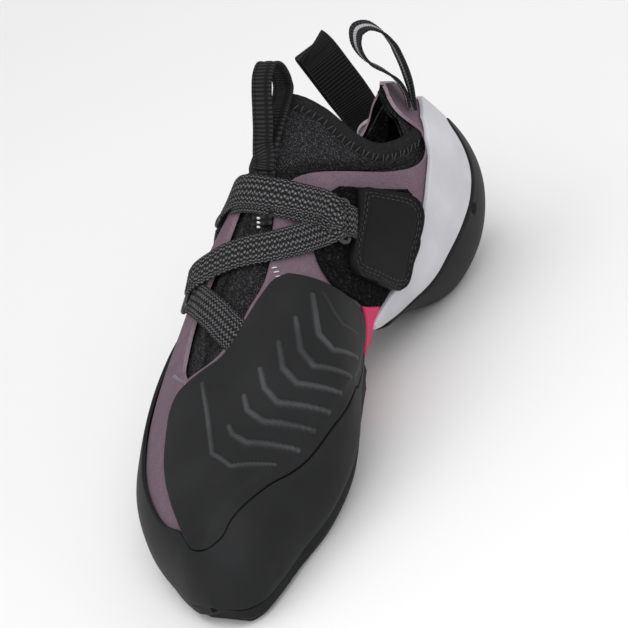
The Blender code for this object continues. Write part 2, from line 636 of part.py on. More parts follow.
def ribbon(name, centres, sides, normals, widths, thickness, look):
    """Flat tape along a route, with its face across the normals."""
    widths = np.broadcast_to(widths, len(centres))
    rings = []
    for centre, side, normal, width in zip(centres, sides, normals, widths):
        across, rise = side * width / 2, normal * thickness / 2
        rings.append([
            centre - across - rise, centre + across - rise, centre + across + rise, centre - across + rise,
        ])
    points = np.array(rings).reshape(-1, 3)
    faces = []
    for row in range(len(rings) - 1):
        for k in range(4):
            a, b = row * 4 + k, row * 4 + (k + 1) % 4
            faces.append([a, b, b + 4, a + 4])
    faces.append([3, 2, 1, 0])
    last = (len(rings) - 1) * 4
    faces.append([last, last + 1, last + 2, last + 3])
    return add_object(name, points, faces, look)


def unit(vectors):
    return vectors / np.linalg.norm(vectors, axis=-1, keepdims=True)


def route_frame(route, side_hint):
    """Directions across and out of a route."""
    along = unit(np.gradient(route, axis=0))
    side = unit(side_hint - np.sum(side_hint * along, axis=1, keepdims=True) * along)
    return side, np.cross(side, along)


def strap_route(rows, count):
    """Centre line, across and outward directions of a strap that lies on the upper."""
    values = table(rows, STRAP_COLUMNS)
    knots = np.linspace(0, 1, len(rows))
    share = np.linspace(0, 1, count)
    station = smooth(share, knots, values["station"])
    turn = smooth(share, knots, values["turn"])
    lift = smooth(share, knots, values["lift"])
    centres = place(station, turn, GAP + WEBBING_THICKNESS * (lift + 0.5))
    normals = outward(station, turn)
    along = unit(np.gradient(centres, axis=0))
    sides = unit(np.cross(normals, along))
    return centres, sides, unit(np.cross(along, sides))


def make_strap(name, rows, count, width, look):
    centres, sides, normals = strap_route(rows, count)
    return ribbon(name, centres, sides, normals, width, WEBBING_THICKNESS, look)


def make_ring(name, span, look):
    """Rectangular ring of round wire, lying on the upper with its long side along the stations."""
    station, turn, lift = RINGS[name]
    centre = place(station, turn, GAP + lift * WIRE_RADIUS)
    normal = outward(np.array(station), np.array(turn))
    along, around = RING_AIM
    long_way = unit(place(station + along, turn + around) - place(station - along, turn - around))
    long_way = unit(long_way - np.dot(long_way, normal) * normal)
    short_way = np.cross(normal, long_way)
    bend = 1.5 * WIRE_RADIUS
    half_span, half_depth = span / 2 - WIRE_RADIUS - bend, RING_DEPTH / 2 - WIRE_RADIUS - bend
    route = []
    for a, b, start in ((1, 1, 0), (-1, 1, 90), (-1, -1, 180), (1, -1, 270)):
        for degrees in (0, 30, 60, 90):
            angle = math.radians(start + degrees)
            along = a * half_span + bend * math.cos(angle)
            across = b * half_depth + bend * math.sin(angle)
            route.append(centre + long_way * along + short_way * across)
    route = np.array(route)
    sides = 6
    points, faces = [], []
    for k in range(len(route)):
        following = (k + 1) % len(route)
        side = np.cross(unit(route[following] - route[k - 1]), normal)
        for m in range(sides):
            angle = 2 * math.pi * m / sides
            points.append(route[k] + (side * math.cos(angle) + normal * math.sin(angle)) * WIRE_RADIUS)
            beside = (m + 1) % sides
            faces.append([
                k * sides + m, k * sides + beside, following * sides + beside, following * sides + m,
            ])
    return add_object(name, points, faces, look)


def tape_loop(name, route, side_start, side_top, width, look):
    """Loop of flat tape through a route. Its width turns and grows from the base towards the top."""
    knots = np.linspace(0, 1, len(route))
    share = np.linspace(0, 1, 28)
    centres = np.stack([smooth(share, knots, route[:, axis]) for axis in range(3)], -1)
    blend = np.sin(math.pi * share)
    hint = unit(side_start * (1 - blend[:, None]) + side_top * blend[:, None])
    sides, normals = route_frame(centres, hint)
    start, full = width
    widths = start + (full - start) * np.clip(2.2 * blend, 0, 1)
    return ribbon(name, centres, sides, normals, widths, TAPE_THICKNESS, look)


def make_front_loop(look):
    """Pull loop at the front of the collar, its two strands one on the other down the sock."""
    under, over = np.array(FRONT_LOOP_UNDER), np.array(FRONT_LOOP_OVER)
    first = place(under[:, 0], FRONT_LOOP_TURN, under[:, 1] * TAPE_THICKNESS)
    second = place(over[:, 0], FRONT_LOOP_TURN, over[:, 1] * TAPE_THICKNESS)
    free = np.array(FRONT_LOOP_TOP) * FRONT_LOOP_HEIGHT
    top = place(1.0, FRONT_LOOP_TURN, 0.0) + np.stack([np.zeros(len(free)), free[:, 0], free[:, 1]], -1)
    across = np.array([1.0, 0.0, 0.0])
    width = (FRONT_TAPE_WIDTH, FRONT_TAPE_WIDTH)
    return tape_loop("pull_loop_front", np.vstack([first, top, second]), across, across, width, look)


def make_heel_loop(name, base, rows, inward, sides, width, look):
    """Pull loop beside the heel, standing on its base."""
    station, turn, lift = base
    height = 2 * GAP + HEEL_RAND_THICKNESS + lift * TAPE_THICKNESS
    ways = np.array([[inward, 0.0, 0.0], [0.0, 1.0, 0.0], [0.0, 0.0, 1.0]])
    route = place(station, turn, height) + np.array(rows) * HEEL_LOOP_HEIGHT @ ways
    return tape_loop(name, route, np.array(sides[0]), np.array(sides[1]), width, look)


def clear_scene():
    for thing in list(bpy.data.objects):
        bpy.data.objects.remove(thing, do_unlink=True)


def main():
    clear_scene()
    mauve = material("mauve_microfibre", (0.162, 0.112, 0.138), 0.85)
    knit = material("black_stretch_knit", (0.020, 0.020, 0.022), 0.90)
    board = material("insole_board", (0.090, 0.080, 0.070), 0.90)
    sole_rubber = material("sole_rubber", (0.017, 0.017, 0.018), 0.62)
    rand_rubber = material("rand_rubber", (0.018, 0.018, 0.020), 0.66)
    patch_rubber = material("patch_rubber", (0.016, 0.017, 0.018), 0.58)
    white_rubber = material("white_rubber", (0.560, 0.560, 0.600), 0.45)
    cup_rubber = material("cup_rubber", (0.015, 0.015, 0.016), 0.55)
    pink_rubber = material("pink_rubber", (0.580, 0.025, 0.115), 0.50)
    pile = material("black_pile", (0.010, 0.010, 0.011), 0.95)
    tab_rubber = material("tab_rubber", (0.014, 0.014, 0.015), 0.45)
    webbing = material("black_webbing", (0.025, 0.025, 0.027), 0.80)
    tape = material("black_tape", (0.015, 0.015, 0.017), 0.80)
    wire = material("dark_wire", (0.040, 0.040, 0.045), 0.35, 0.9)

    make_upper(mauve)
    make_sock(knit)
    make_insole(board)
    make_outsole(sole_rubber)
    make_toe_rand(rand_rubber)
    make_toe_patch(patch_rubber)
    make_heel_rand(white_rubber)
    make_heel_cup(cup_rubber)
    make_overlay("arch_rand", ARCH, 10, 5, GAP + SEAT, ARCH_THICKNESS, pink_rubber)
    make_overlay("loop_pad", PAD, 11, 8, GAP + SEAT, PAD_THICKNESS, pile)
    tab_height = 2 * (GAP + SEAT) + PAD_THICKNESS
    make_overlay("strap_tab", TAB, 10, 7, tab_height, TAB_THICKNESS, tab_rubber)
    make_strap("strap_upper", UPPER_STRAP, 20, STRAP_WIDTH, webbing)
    make_strap("strap_lower", LOWER_STRAP, 22, STRAP_WIDTH, webbing)
    make_strap("strap_anchor", ANCHOR, 12, ANCHOR_WIDTH, webbing)
    make_strap("strap_lateral_anchor", LATERAL_ANCHOR, 10, ANCHOR_WIDTH, webbing)
    make_ring("ring_medial", MEDIAL_RING_SPAN, wire)
    make_ring("ring_lateral_upper", LATERAL_RING_SPAN, wire)
    make_ring("ring_lateral_lower", LATERAL_RING_SPAN, wire)
    make_front_loop(tape)
    gathered = (MEDIAL_LOOP_BASE_WIDTH * HEEL_TAPE_WIDTH, HEEL_TAPE_WIDTH)
    level = (HEEL_TAPE_WIDTH, HEEL_TAPE_WIDTH)
    make_heel_loop(
        "pull_loop_heel_medial", MEDIAL_LOOP_BASE, MEDIAL_LOOP, 1.0, MEDIAL_TAPE_SIDES, gathered, tape,
    )
    make_heel_loop(
        "pull_loop_heel_lateral", LATERAL_LOOP_BASE, LATERAL_LOOP, -1.0, LATERAL_TAPE_SIDES, level, tape,
    )


main()
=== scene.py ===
"""A right climbing shoe: mauve microfibre upper, stretch sock, rubber rands and patch, two straps.

Curved pieces are laid on one last. place() gives its points: station 0 is the toe's tip and 1 the
collar, turn 0 the sole's middle line, 0.25 the medial side, 0.5 the ridge and 0.75 the lateral side.
Metres, +Y to the toe, +Z up, -X medial.
"""

import math

import bpy
import numpy as np
from bpy.props import FloatProperty, FloatVectorProperty, IntProperty, PointerProperty
from mathutils import Matrix, Vector


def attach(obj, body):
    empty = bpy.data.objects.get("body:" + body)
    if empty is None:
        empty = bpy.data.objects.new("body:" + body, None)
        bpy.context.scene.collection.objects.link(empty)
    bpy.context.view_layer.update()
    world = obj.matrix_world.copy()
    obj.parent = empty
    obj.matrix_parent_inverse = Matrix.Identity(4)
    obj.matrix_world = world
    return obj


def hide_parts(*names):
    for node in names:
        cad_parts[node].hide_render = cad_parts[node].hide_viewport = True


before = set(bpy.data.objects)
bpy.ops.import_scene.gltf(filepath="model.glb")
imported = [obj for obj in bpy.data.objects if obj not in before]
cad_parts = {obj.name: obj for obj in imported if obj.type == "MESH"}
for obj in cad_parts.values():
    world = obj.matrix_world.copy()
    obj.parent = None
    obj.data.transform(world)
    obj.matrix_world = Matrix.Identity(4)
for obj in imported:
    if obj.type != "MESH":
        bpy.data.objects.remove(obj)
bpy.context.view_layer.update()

bl_info = {
    "name": "Climbing Shoe",
    "version": (1, 0, 0),
    "blender": (4, 5, 0),
    "location": "View3D > Sidebar > Shoe",
    "description": "Builds a right climbing shoe with straps, rands and pull loops",
    "category": "Add Mesh",
}

# The last's sizes, then the thickness of each wall laid on it and of the gaps between them
LENGTH, BALL_WIDTH, INSTEP_HEIGHT, HEEL_HEIGHT, HEEL_REST = 0.230, 0.092, 0.0955, 0.075, 0.038
GAP, SEAT, SOCK_CLEARANCE = 0.0004, 0.0002, 0.0010
UPPER_WALL, SOCK_WALL = 0.0016, 0.0013
SOLE_THICKNESS, RAND_THICKNESS, PATCH_THICKNESS, HEEL_RAND_THICKNESS = 0.0041, 0.0015, 0.0021, 0.0016
HEEL_CUP_THICKNESS, ARCH_THICKNESS, PAD_THICKNESS, TAB_THICKNESS = 0.0022, 0.0012, 0.0016, 0.0022
WEBBING_THICKNESS, TAPE_THICKNESS = 0.0014, 0.0010
STRAP_WIDTH, ANCHOR_WIDTH, FRONT_TAPE_WIDTH, HEEL_TAPE_WIDTH = 0.0115, 0.0125, 0.0090, 0.0150
WIRE_RADIUS, RING_DEPTH, MEDIAL_RING_SPAN, LATERAL_RING_SPAN = 0.0011, 0.0062, 0.0178, 0.0150
BED = SOLE_THICKNESS + GAP
SOLE_SIDE, SOLE_BEVEL, SOLE_ARCH_THINNING, SOLE_FLATTENING = 0.0036, 0.0036, 0.45, 0.0005
WELT_TURN, JOINT, RAND_JOINT, CUP_JOINT = 0.162, 0.0035, 0.0002, 0.0012
SOLE_STATIONS, SOLE_POINTS_ACROSS = (0.006, 0.480), 61
RAND_FRONT, RAND_FOOT, RAND_BACK, CUP_STATIONS = 0.0505, 0.007, 0.480, (0.575, 0.917)
# Dimple of the heel cup: place, depth, and how far its floor and its rim reach. Then where the cup is
# flat on the ground: station, length in stations and width in turns
DIMPLE, CUP_REST = ((0.767, 0.186), 0.0015, 0.0013, 0.0024), (0.695, 0.036, 0.060)
# Share of its thickness that a piece keeps at its very rim, and how much its grid draws to its ends
RIM_SHARE, EVEN_ENDS = 0.15, 0.6

SECTION_COLUMNS = (
    "station", "bottom_y", "bottom_z", "top_y", "top_z", "mid_bottom", "mid_top",
    "half_medial", "half_lateral", "split", "low", "high",
)
SECTIONS = (
    (0.00, 0.992, 0.087, 0.990, 0.094, -0.280, -0.280, 0.000, 0.000, 0.40, 2.2, 2.00),
    (0.03, 0.986, 0.020, 0.976, 0.204, -0.272, -0.272, 0.105, 0.088, 0.40, 2.8, 2.10),
    (0.07, 0.964, 0.000, 0.946, 0.277, -0.248, -0.253, 0.190, 0.188, 0.37, 3.2, 2.10),
    (0.12, 0.922, 0.000, 0.905, 0.335, -0.201, -0.216, 0.255, 0.305, 0.35, 3.5, 2.10),
    (0.19, 0.850, 0.004, 0.838, 0.382, -0.130, -0.165, 0.328, 0.420, 0.34, 3.7, 2.10),
    (0.27, 0.760, 0.020, 0.750, 0.440, -0.058, -0.113, 0.420, 0.485, 0.35, 3.6, 2.00),
    (0.35, 0.660, 0.067, 0.660, 0.539, 0.009, -0.060, 0.462, 0.485, 0.37, 3.3, 2.00),
    (0.43, 0.560, 0.140, 0.565, 0.675, 0.034, -0.030, 0.395, 0.445, 0.40, 3.0, 2.00),
    (0.52, 0.440, 0.188, 0.480, 0.812, 0.035, -0.010, 0.310, 0.400, 0.44, 2.7, 2.00),
    (0.60, 0.315, 0.135, 0.430, 0.916, 0.020, 0.000, 0.290, 0.335, 0.44, 2.6, 1.90),
    (0.67, 0.198, 0.013, 0.395, 1.000, 0.003, 0.000, 0.290, 0.305, 0.42, 2.5, 1.80),
    (0.74, 0.090, 0.027, 0.365, 1.052, -0.009, 0.000, 0.290, 0.300, 0.40, 2.4, 1.70),
    (0.81, 0.018, 0.207, 0.340, 1.084, -0.013, 0.000, 0.276, 0.288, 0.38, 2.2, 1.65),
    (0.88, 0.003, 0.473, 0.320, 1.105, -0.013, 0.000, 0.250, 0.270, 0.38, 2.1, 1.60),
    (0.94, 0.024, 0.740, 0.305, 1.120, -0.008, 0.000, 0.200, 0.215, 0.38, 2.0, 1.60),
    (1.00, 0.058, 1.000, 0.292, 1.126, 0.000, 0.000, 0.130, 0.135, 0.40, 2.0, 1.60),
)
THROAT = (
    (0.332, 0.582, 0.582), (0.345, 0.546, 0.593), (0.370, 0.514, 0.598), (0.415, 0.486, 0.600),
    (0.440, 0.469, 0.592), (0.480, 0.458, 0.574), (0.540, 0.458, 0.558), (0.600, 0.447, 0.555),
    (0.640, 0.428, 0.572), (0.680, 0.398, 0.602), (0.720, 0.362, 0.638), (0.760, 0.322, 0.678),
    (0.800, 0.289, 0.716), (0.840, 0.275, 0.760), (0.880, 0.270, 0.812), (0.920, 0.282, 0.853),
    (0.960, 0.262, 0.893), (1.000, 0.190, 0.965),
)
COLLAR = (
    (0.00, 1.000, 0.985), (0.08, 1.000, 0.965), (0.15, 1.000, 0.900), (0.22, 0.985, 0.850),
    (0.28, 0.885, 0.822), (0.30, 0.862, 0.816), (0.32, 0.835, 0.811), (0.345, 0.812, 0.812),
    (0.375, 0.838, 0.838), (0.400, 0.905, 0.905), (0.43, 0.965, 0.965), (0.46, 0.990, 0.990),
    (0.50, 0.995, 0.995),
)
RAND = (
    (0.046, 0.555), (0.070, 0.583), (0.090, 0.600), (0.110, 0.622), (0.144, 0.638), (0.182, 0.649),
    (0.224, 0.662), (0.285, 0.682), (0.320, 0.692), (0.368, 0.697), (0.414, 0.706), (0.450, 0.718),
    (0.490, 0.732),
)
PATCH = (
    ((0.051, 0.496), (0.051, 0.516)), ((0.058, 0.462), (0.056, 0.546)),
    ((0.079, 0.429), (0.076, 0.562)), ((0.108, 0.416), (0.104, 0.569)),
    ((0.138, 0.401), (0.136, 0.576)), ((0.168, 0.384), (0.168, 0.583)),
    ((0.197, 0.367), (0.200, 0.588)), ((0.226, 0.346), (0.230, 0.593)),
    ((0.256, 0.331), (0.260, 0.597)), ((0.288, 0.320), (0.288, 0.597)),
    ((0.320, 0.308), (0.312, 0.585)), ((0.354, 0.288), (0.331, 0.552)),
    ((0.388, 0.264), (0.348, 0.520)), ((0.420, 0.236), (0.370, 0.501)),
    ((0.450, 0.215), (0.400, 0.484)), ((0.480, 0.205), (0.430, 0.464)),
    ((0.503, 0.212), (0.452, 0.446)), ((0.516, 0.234), (0.468, 0.420)),
)
HEEL_RAND = (
    ((0.528, 0.170), (0.530, 0.184)), ((0.556, 0.135), (0.558, 0.190)),
    ((0.590, 0.116), (0.588, 0.202)), ((0.625, 0.142), (0.622, 0.221)),
    ((0.660, 0.172), (0.656, 0.240)), ((0.696, 0.192), (0.692, 0.257)),
    ((0.738, 0.201), (0.732, 0.272)), ((0.778, 0.197), (0.776, 0.281)),
    ((0.820, 0.191), (0.820, 0.281)), ((0.862, 0.186), (0.866, 0.276)),
    ((0.897, 0.176), (0.918, 0.242)), ((0.916, 0.138), (0.956, 0.160)),
    ((0.922, 0.070), (0.961, 0.078)), ((0.923, 0.0), (0.960, 0.0)),
)
ARCH = (
    ((0.500, 0.020), (0.560, 0.020)), ((0.498, 0.070), (0.548, 0.060)),
    ((0.487, 0.120), (0.534, 0.105)), ((0.487, 0.165), (0.522, 0.150)),
    ((0.502, 0.198), (0.528, 0.184)), ((0.517, 0.224), (0.545, 0.196)),
    ((0.524, 0.242), (0.556, 0.201)),
)
PAD = (
    ((0.525, 0.243), (0.555, 0.199)), ((0.507, 0.285), (0.578, 0.209)),
    ((0.497, 0.318), (0.610, 0.226)), ((0.505, 0.352), (0.642, 0.245)),
    ((0.532, 0.372), (0.672, 0.259)), ((0.585, 0.377), (0.702, 0.272)),
    ((0.640, 0.374), (0.726, 0.284)), ((0.672, 0.366), (0.738, 0.300)),
)
TAB = (
    ((0.544, 0.272), (0.585, 0.206)), ((0.537, 0.288), (0.606, 0.203)),
    ((0.546, 0.305), (0.634, 0.230)), ((0.568, 0.314), (0.661, 0.245)),
    ((0.600, 0.322), (0.686, 0.258)), ((0.645, 0.337), (0.708, 0.271)),
    ((0.677, 0.348), (0.722, 0.286)), ((0.692, 0.343), (0.723, 0.303)),
)

# Ridges of the toe patch by station and turn: six chevrons, the line that frames them and a faint arc
CHEVRONS = (
    ((0.455, 0.373), (0.410, 0.360), (0.404, 0.331), (0.434, 0.260)),
    ((0.414, 0.401), (0.380, 0.390), (0.370, 0.366), (0.396, 0.283)),
    ((0.379, 0.426), (0.351, 0.415), (0.339, 0.390), (0.362, 0.311)),
    ((0.341, 0.449), (0.318, 0.437), (0.305, 0.412), (0.330, 0.325)),
    ((0.301, 0.466), (0.282, 0.456), (0.273, 0.427), (0.296, 0.341)),
    ((0.254, 0.480), (0.242, 0.470), (0.235, 0.441), (0.260, 0.353)),
)
FRAME_LINE = ((0.317, 0.537), (0.267, 0.519), (0.208, 0.496), (0.193, 0.453), (0.223, 0.377))
FAINT_ARC = ((0.468, 0.352), (0.453, 0.328), (0.449, 0.308), (0.469, 0.252))

# Middle lines of the straps: station, turn and height in webbing thicknesses
UPPER_STRAP = (
    (0.610, 0.361, 2.8), (0.605, 0.380, 2.9), (0.600, 0.402, 2.6), (0.597, 0.432, 1.4),
    (0.595, 0.475, 0.8), (0.598, 0.513, 0.7), (0.602, 0.550, 0.6), (0.600, 0.580, 0.6),
    (0.594, 0.604, 0.7),
)
LOWER_STRAP = (
    (0.576, 0.3535, 1.5), (0.560, 0.367, 1.5), (0.540, 0.385, 1.4), (0.522, 0.408, 0.8),
    (0.505, 0.440, 0.5), (0.492, 0.478, 0.5), (0.485, 0.520, 0.5), (0.477, 0.560, 0.6),
    (0.472, 0.600, 1.6), (0.468, 0.630, 1.9),
)
ANCHOR = (
    (0.448, 0.622, 0.2), (0.436, 0.598, 0.2), (0.420, 0.570, 0.2), (0.403, 0.540, 0.2),
    (0.388, 0.516, 0.2), (0.375, 0.494, -0.9),
)
LATERAL_ANCHOR = (
    (0.590, 0.645, 0.2), (0.585, 0.662, 0.2), (0.579, 0.680, 0.2), (0.572, 0.700, 0.2),
)
RINGS = {
    "ring_medial": (0.600, 0.3425, 3.4),
    "ring_lateral_upper": (0.592, 0.6255, 1.0),
    "ring_lateral_lower": (0.462, 0.6510, 1.0),
}
RING_AIM = (0.03, 0.012)

# Webbing fold from the tab round the medial ring: reach to the tab and rise, in metres
TAB_FOLD_WIDTH, FOLD_THICKNESS = 0.0118, 0.0010
TAB_FOLD = (
    (0.0046, -0.0004), (0.0022, 0.0010), (0.0008, 0.0017), (-0.0008, 0.0015), (-0.0016, 0.0002),
    (-0.0010, -0.0012), (0.0008, -0.0016), (0.0026, -0.0012),
)

# Pull loops: ways in loop heights from the collar's front or from a base on the heel rand
FRONT_LOOP_HEIGHT, FRONT_LOOP_TURN = 0.0145, 0.482
FRONT_LOOP_UNDER = (
    (0.530, 0.5), (0.585, 0.6), (0.640, 1.2), (0.700, 1.2), (0.780, 1.2), (0.850, 1.3), (0.910, 1.4),
    (0.965, 1.6),
)
FRONT_LOOP_TOP = (
    (-0.06, 0.22), (-0.11, 0.50), (-0.05, 0.82), (0.16, 1.00), (0.46, 0.88), (0.72, 0.58),
    (0.98, 0.18), (1.24, -0.22), (1.48, -0.54),
)
FRONT_LOOP_OVER = ((0.665, 3.2), (0.641, 2.8))
HEEL_LOOP_HEIGHT = 0.040
MEDIAL_LOOP_BASE, MEDIAL_LOOP_BASE_WIDTH = (0.932, 0.260, 1.6), 0.35
MEDIAL_LOOP = (
    (-0.010, 0.030, -0.060), (0.005, -0.015, 0.030), (0.030, -0.080, 0.150),
    (0.070, -0.145, 0.280), (0.115, -0.195, 0.410), (0.165, -0.230, 0.520),
    (0.245, -0.245, 0.635), (0.340, -0.220, 0.715), (0.420, -0.155, 0.725),
    (0.430, -0.085, 0.645), (0.395, -0.040, 0.545), (0.325, -0.025, 0.440),
    (0.215, -0.045, 0.330), (0.125, -0.050, 0.225), (0.065, -0.020, 0.105),
    (0.030, 0.050, -0.020),
)
LATERAL_LOOP_BASE = (0.900, 0.850, 0.2)
LATERAL_LOOP = (
    (0.000, -0.006, -0.100), (0.000, 0.000, 0.000), (-0.002, 0.000, 0.100),
    (-0.010, 0.015, 0.250), (-0.018, 0.050, 0.440), (-0.025, 0.115, 0.690),
    (-0.025, 0.180, 0.920), (-0.028, 0.218, 1.030), (-0.050, 0.232, 1.080),
    (-0.080, 0.208, 1.040), (-0.098, 0.160, 0.920), (-0.110, 0.085, 0.690),
    (-0.098, 0.025, 0.440), (-0.075, -0.015, 0.250), (-0.048, -0.030, 0.110),
    (-0.026, -0.026, 0.010), (-0.022, -0.030, -0.080),
)
# Ways that the heel tapes' width points at the base and at the top
MEDIAL_TAPE_SIDES = ((-0.68, 0.62, 0.40), (-0.78, 0.62, 0.11))
LATERAL_TAPE_SIDES = ((-0.68, -0.71, 0.19), (-0.58, -0.79, 0.19))

# Bartacks: first and last (station, turn), height, stitches and their thread, length, thickness and slot
BARTACKS = (
    ("front_loop_bartack", (0.546, 0.490), (0.522, 0.487), 0.0012, 3, "pale", 0.0015, 0.0009, "tape"),
    ("throat_edge_bartack", (0.473, 0.450), (0.458, 0.436), 0.0004, 3, "pale", 0.0022, 0.00055, "mauve"),
    ("throat_end_bartack", (0.348, 0.616), (0.326, 0.578), 0.0002, 9, "mauve", 0.0016, 0.0005, "mauve"),
)

# Studio: the point looked at, each light's place from it, size and power, and the camera's angles in
# degrees, distance, shifts to its right and up, and lens
TARGET = (0.0, 0.077, 0.045)
LIGHTS = (
    ("key_light", (-0.75, 0.55, 1.05), 0.9, 7.6), ("fill_light", (-0.95, -0.45, 0.55), 1.1, 2.0),
    ("top_light", (0.35, 0.25, 1.30), 1.3, 4.8), ("toe_light", (-0.10, 1.20, 0.45), 0.9, 2.4),
)
WORLD_STRENGTH = 0.62
CAMERA_ANGLES, CAMERA_AWAY, CAMERA_RIGHT, CAMERA_UP = (44.908, 29.651, -24.668), 1.3393, 0.0107, 0.0025
LENS, SENSOR = 212.3, 36.0


def smooth(x, knots, values):
    """Cubic curve through a table's values."""
    x = np.clip(np.asarray(x, dtype=float), knots[0], knots[-1])
    k = np.clip(np.searchsorted(knots, x, side="right") - 1, 0, len(knots) - 2)
    span = knots[k + 1] - knots[k]
    t = (x - knots[k]) / span
    slope = np.gradient(values, knots)
    return (
        (2 * t**3 - 3 * t**2 + 1) * values[k]
        + (t**3 - 2 * t**2 + t) * span * slope[k]
        + (3 * t**2 - 2 * t**3) * values[k + 1]
        + (t**3 - t**2) * span * slope[k + 1]
    )


def curve(rows, shares):
    """Values of a table's columns at shares of its length."""
    block = np.array(rows, dtype=float)
    knots = np.linspace(0, 1, len(block))
    return np.stack([smooth(shares, knots, block[:, k]) for k in range(block.shape[1])], -1)


def column(rows, x, k):
    """Column k of a table at values x of its first column."""
    block = np.array(rows, dtype=float)
    return smooth(x, block[:, 0], block[:, k])


def section_value(name, station):
    """A named column of the last's sections at a station."""
    return column(SECTIONS, station, SECTION_COLUMNS.index(name))


def on_last(station, turn):
    """Point of the last at a station and a turn."""
    station, turn = np.broadcast_arrays(np.asarray(station, float), np.asarray(turn, float))
    bottom_y = section_value("bottom_y", station) * LENGTH - HEEL_REST
    top_y = section_value("top_y", station) * LENGTH - HEEL_REST
    bottom_z = BED + section_value("bottom_z", station) * HEEL_HEIGHT
    top_z = BED + section_value("top_z", station) * INSTEP_HEIGHT
    angle = 2 * math.pi * turn
    up, side = -np.cos(angle), np.sin(angle)
    corner = 2 / np.where(up < 0, section_value("low", station), section_value("high", station))
    side = np.sign(side) * np.abs(side) ** corner
    up = np.sign(up) * np.abs(up) ** corner
    split = section_value("split", station)
    rise = split + np.where(up < 0, up * split, up * (1 - split))
    half = np.where(side > 0, section_value("half_medial", station), section_value("half_lateral", station))
    low, high = section_value("mid_bottom", station), section_value("mid_top", station)
    x = (low + (high - low) * rise - side * half) * BALL_WIDTH
    return np.stack([x, bottom_y + (top_y - bottom_y) * rise, bottom_z + (top_z - bottom_z) * rise], -1)


def unit(vectors):
    """Vectors made one long."""
    return vectors / np.linalg.norm(vectors, axis=-1, keepdims=True)


def outward(station, turn):
    """Outward unit normal of the last."""
    step = 0.002
    ahead, behind = np.clip(station + step, 0, 1), np.clip(station - step, 0.004, 1)
    along = on_last(ahead, turn) - on_last(behind, turn)
    around = on_last(station, turn + step) - on_last(station, turn - step)
    return unit(np.cross(along, around))


def place(station, turn, height=0.0):
    """Point at a height above the last."""
    station, turn = np.broadcast_arrays(np.asarray(station, float), np.asarray(turn, float))
    return on_last(station, turn) + outward(station, turn) * np.asarray(height, float)[..., None]


def tip(height):
    """Point of the toe's tip at a height in front of the last."""
    return on_last(np.array([0.0]), np.array([0.25]))[0] + np.array([0.0, height, 0.0])


def ease(x, low=0.0, high=1.0):
    """Smooth step from 0 at low to 1 at high."""
    t = np.clip((np.asarray(x, float) - low) / (high - low), 0, 1)
    return t * t * (3 - 2 * t)


def close_ends(count, tightness):
    """Shares from 0 to 1 that lie closer together by both ends."""
    even = np.linspace(0, 1, count)
    return even - tightness * np.sin(2 * math.pi * even) / (2 * math.pi)


def spread(start, end, shares):
    """Values from start to end, row by row."""
    return np.asarray(start)[:, None] * (1 - shares) + np.asarray(end)[:, None] * shares


def edge_distance(points, sides=(True, True, True, True)):
    """Distance over the surface from each point of a grid to the nearest of its four sides."""
    def run(block):
        steps = np.linalg.norm(np.diff(block, axis=0), axis=2)
        return np.vstack([np.zeros((1, block.shape[1])), np.cumsum(steps, axis=0)])
    down, across = run(points), run(points.swapaxes(0, 1)).T
    found = [down, down[-1:] - down, across, across[:, -1:] - across]
    return np.min([way for way, used in zip(found, sides) if used], axis=0)


def rounded(distance, radius):
    """Share of the full height at a distance from an edge that is rounded with a radius."""
    inside = 1 - np.clip(distance / radius, 0, 1)
    return np.sqrt(1 - inside**2)


def line_distance(points, line):
    """Distance from points to a line of straight runs, and the share of the line's length there."""
    best = np.full(points.shape[:-1], np.inf)
    share = np.zeros(points.shape[:-1])
    lengths = np.linalg.norm(np.diff(line, axis=0), axis=1)
    passed = np.concatenate([[0], np.cumsum(lengths)])
    for k in range(len(line) - 1):
        run = line[k + 1] - line[k]
        t = np.clip((points - line[k]) @ run / (run @ run), 0, 1)
        found = np.linalg.norm(points - line[k] - t[..., None] * run, axis=-1)
        nearer = found < best
        best = np.where(nearer, found, best)
        share = np.where(nearer, (passed[k] + t * lengths[k]) / passed[-1], share)
    return best, share


def ripple(points, size, seed):
    """Even random relief from -1 to 1 whose bumps are of a size."""
    draw = np.random.default_rng(seed)
    ways = unit(draw.normal(size=(24, 3))) * draw.uniform(0.6, 1.6, (24, 1)) * 2 * math.pi / size
    phases = draw.uniform(0, 2 * math.pi, 24)
    return np.sin(points @ ways.T + phases).sum(-1) / 5


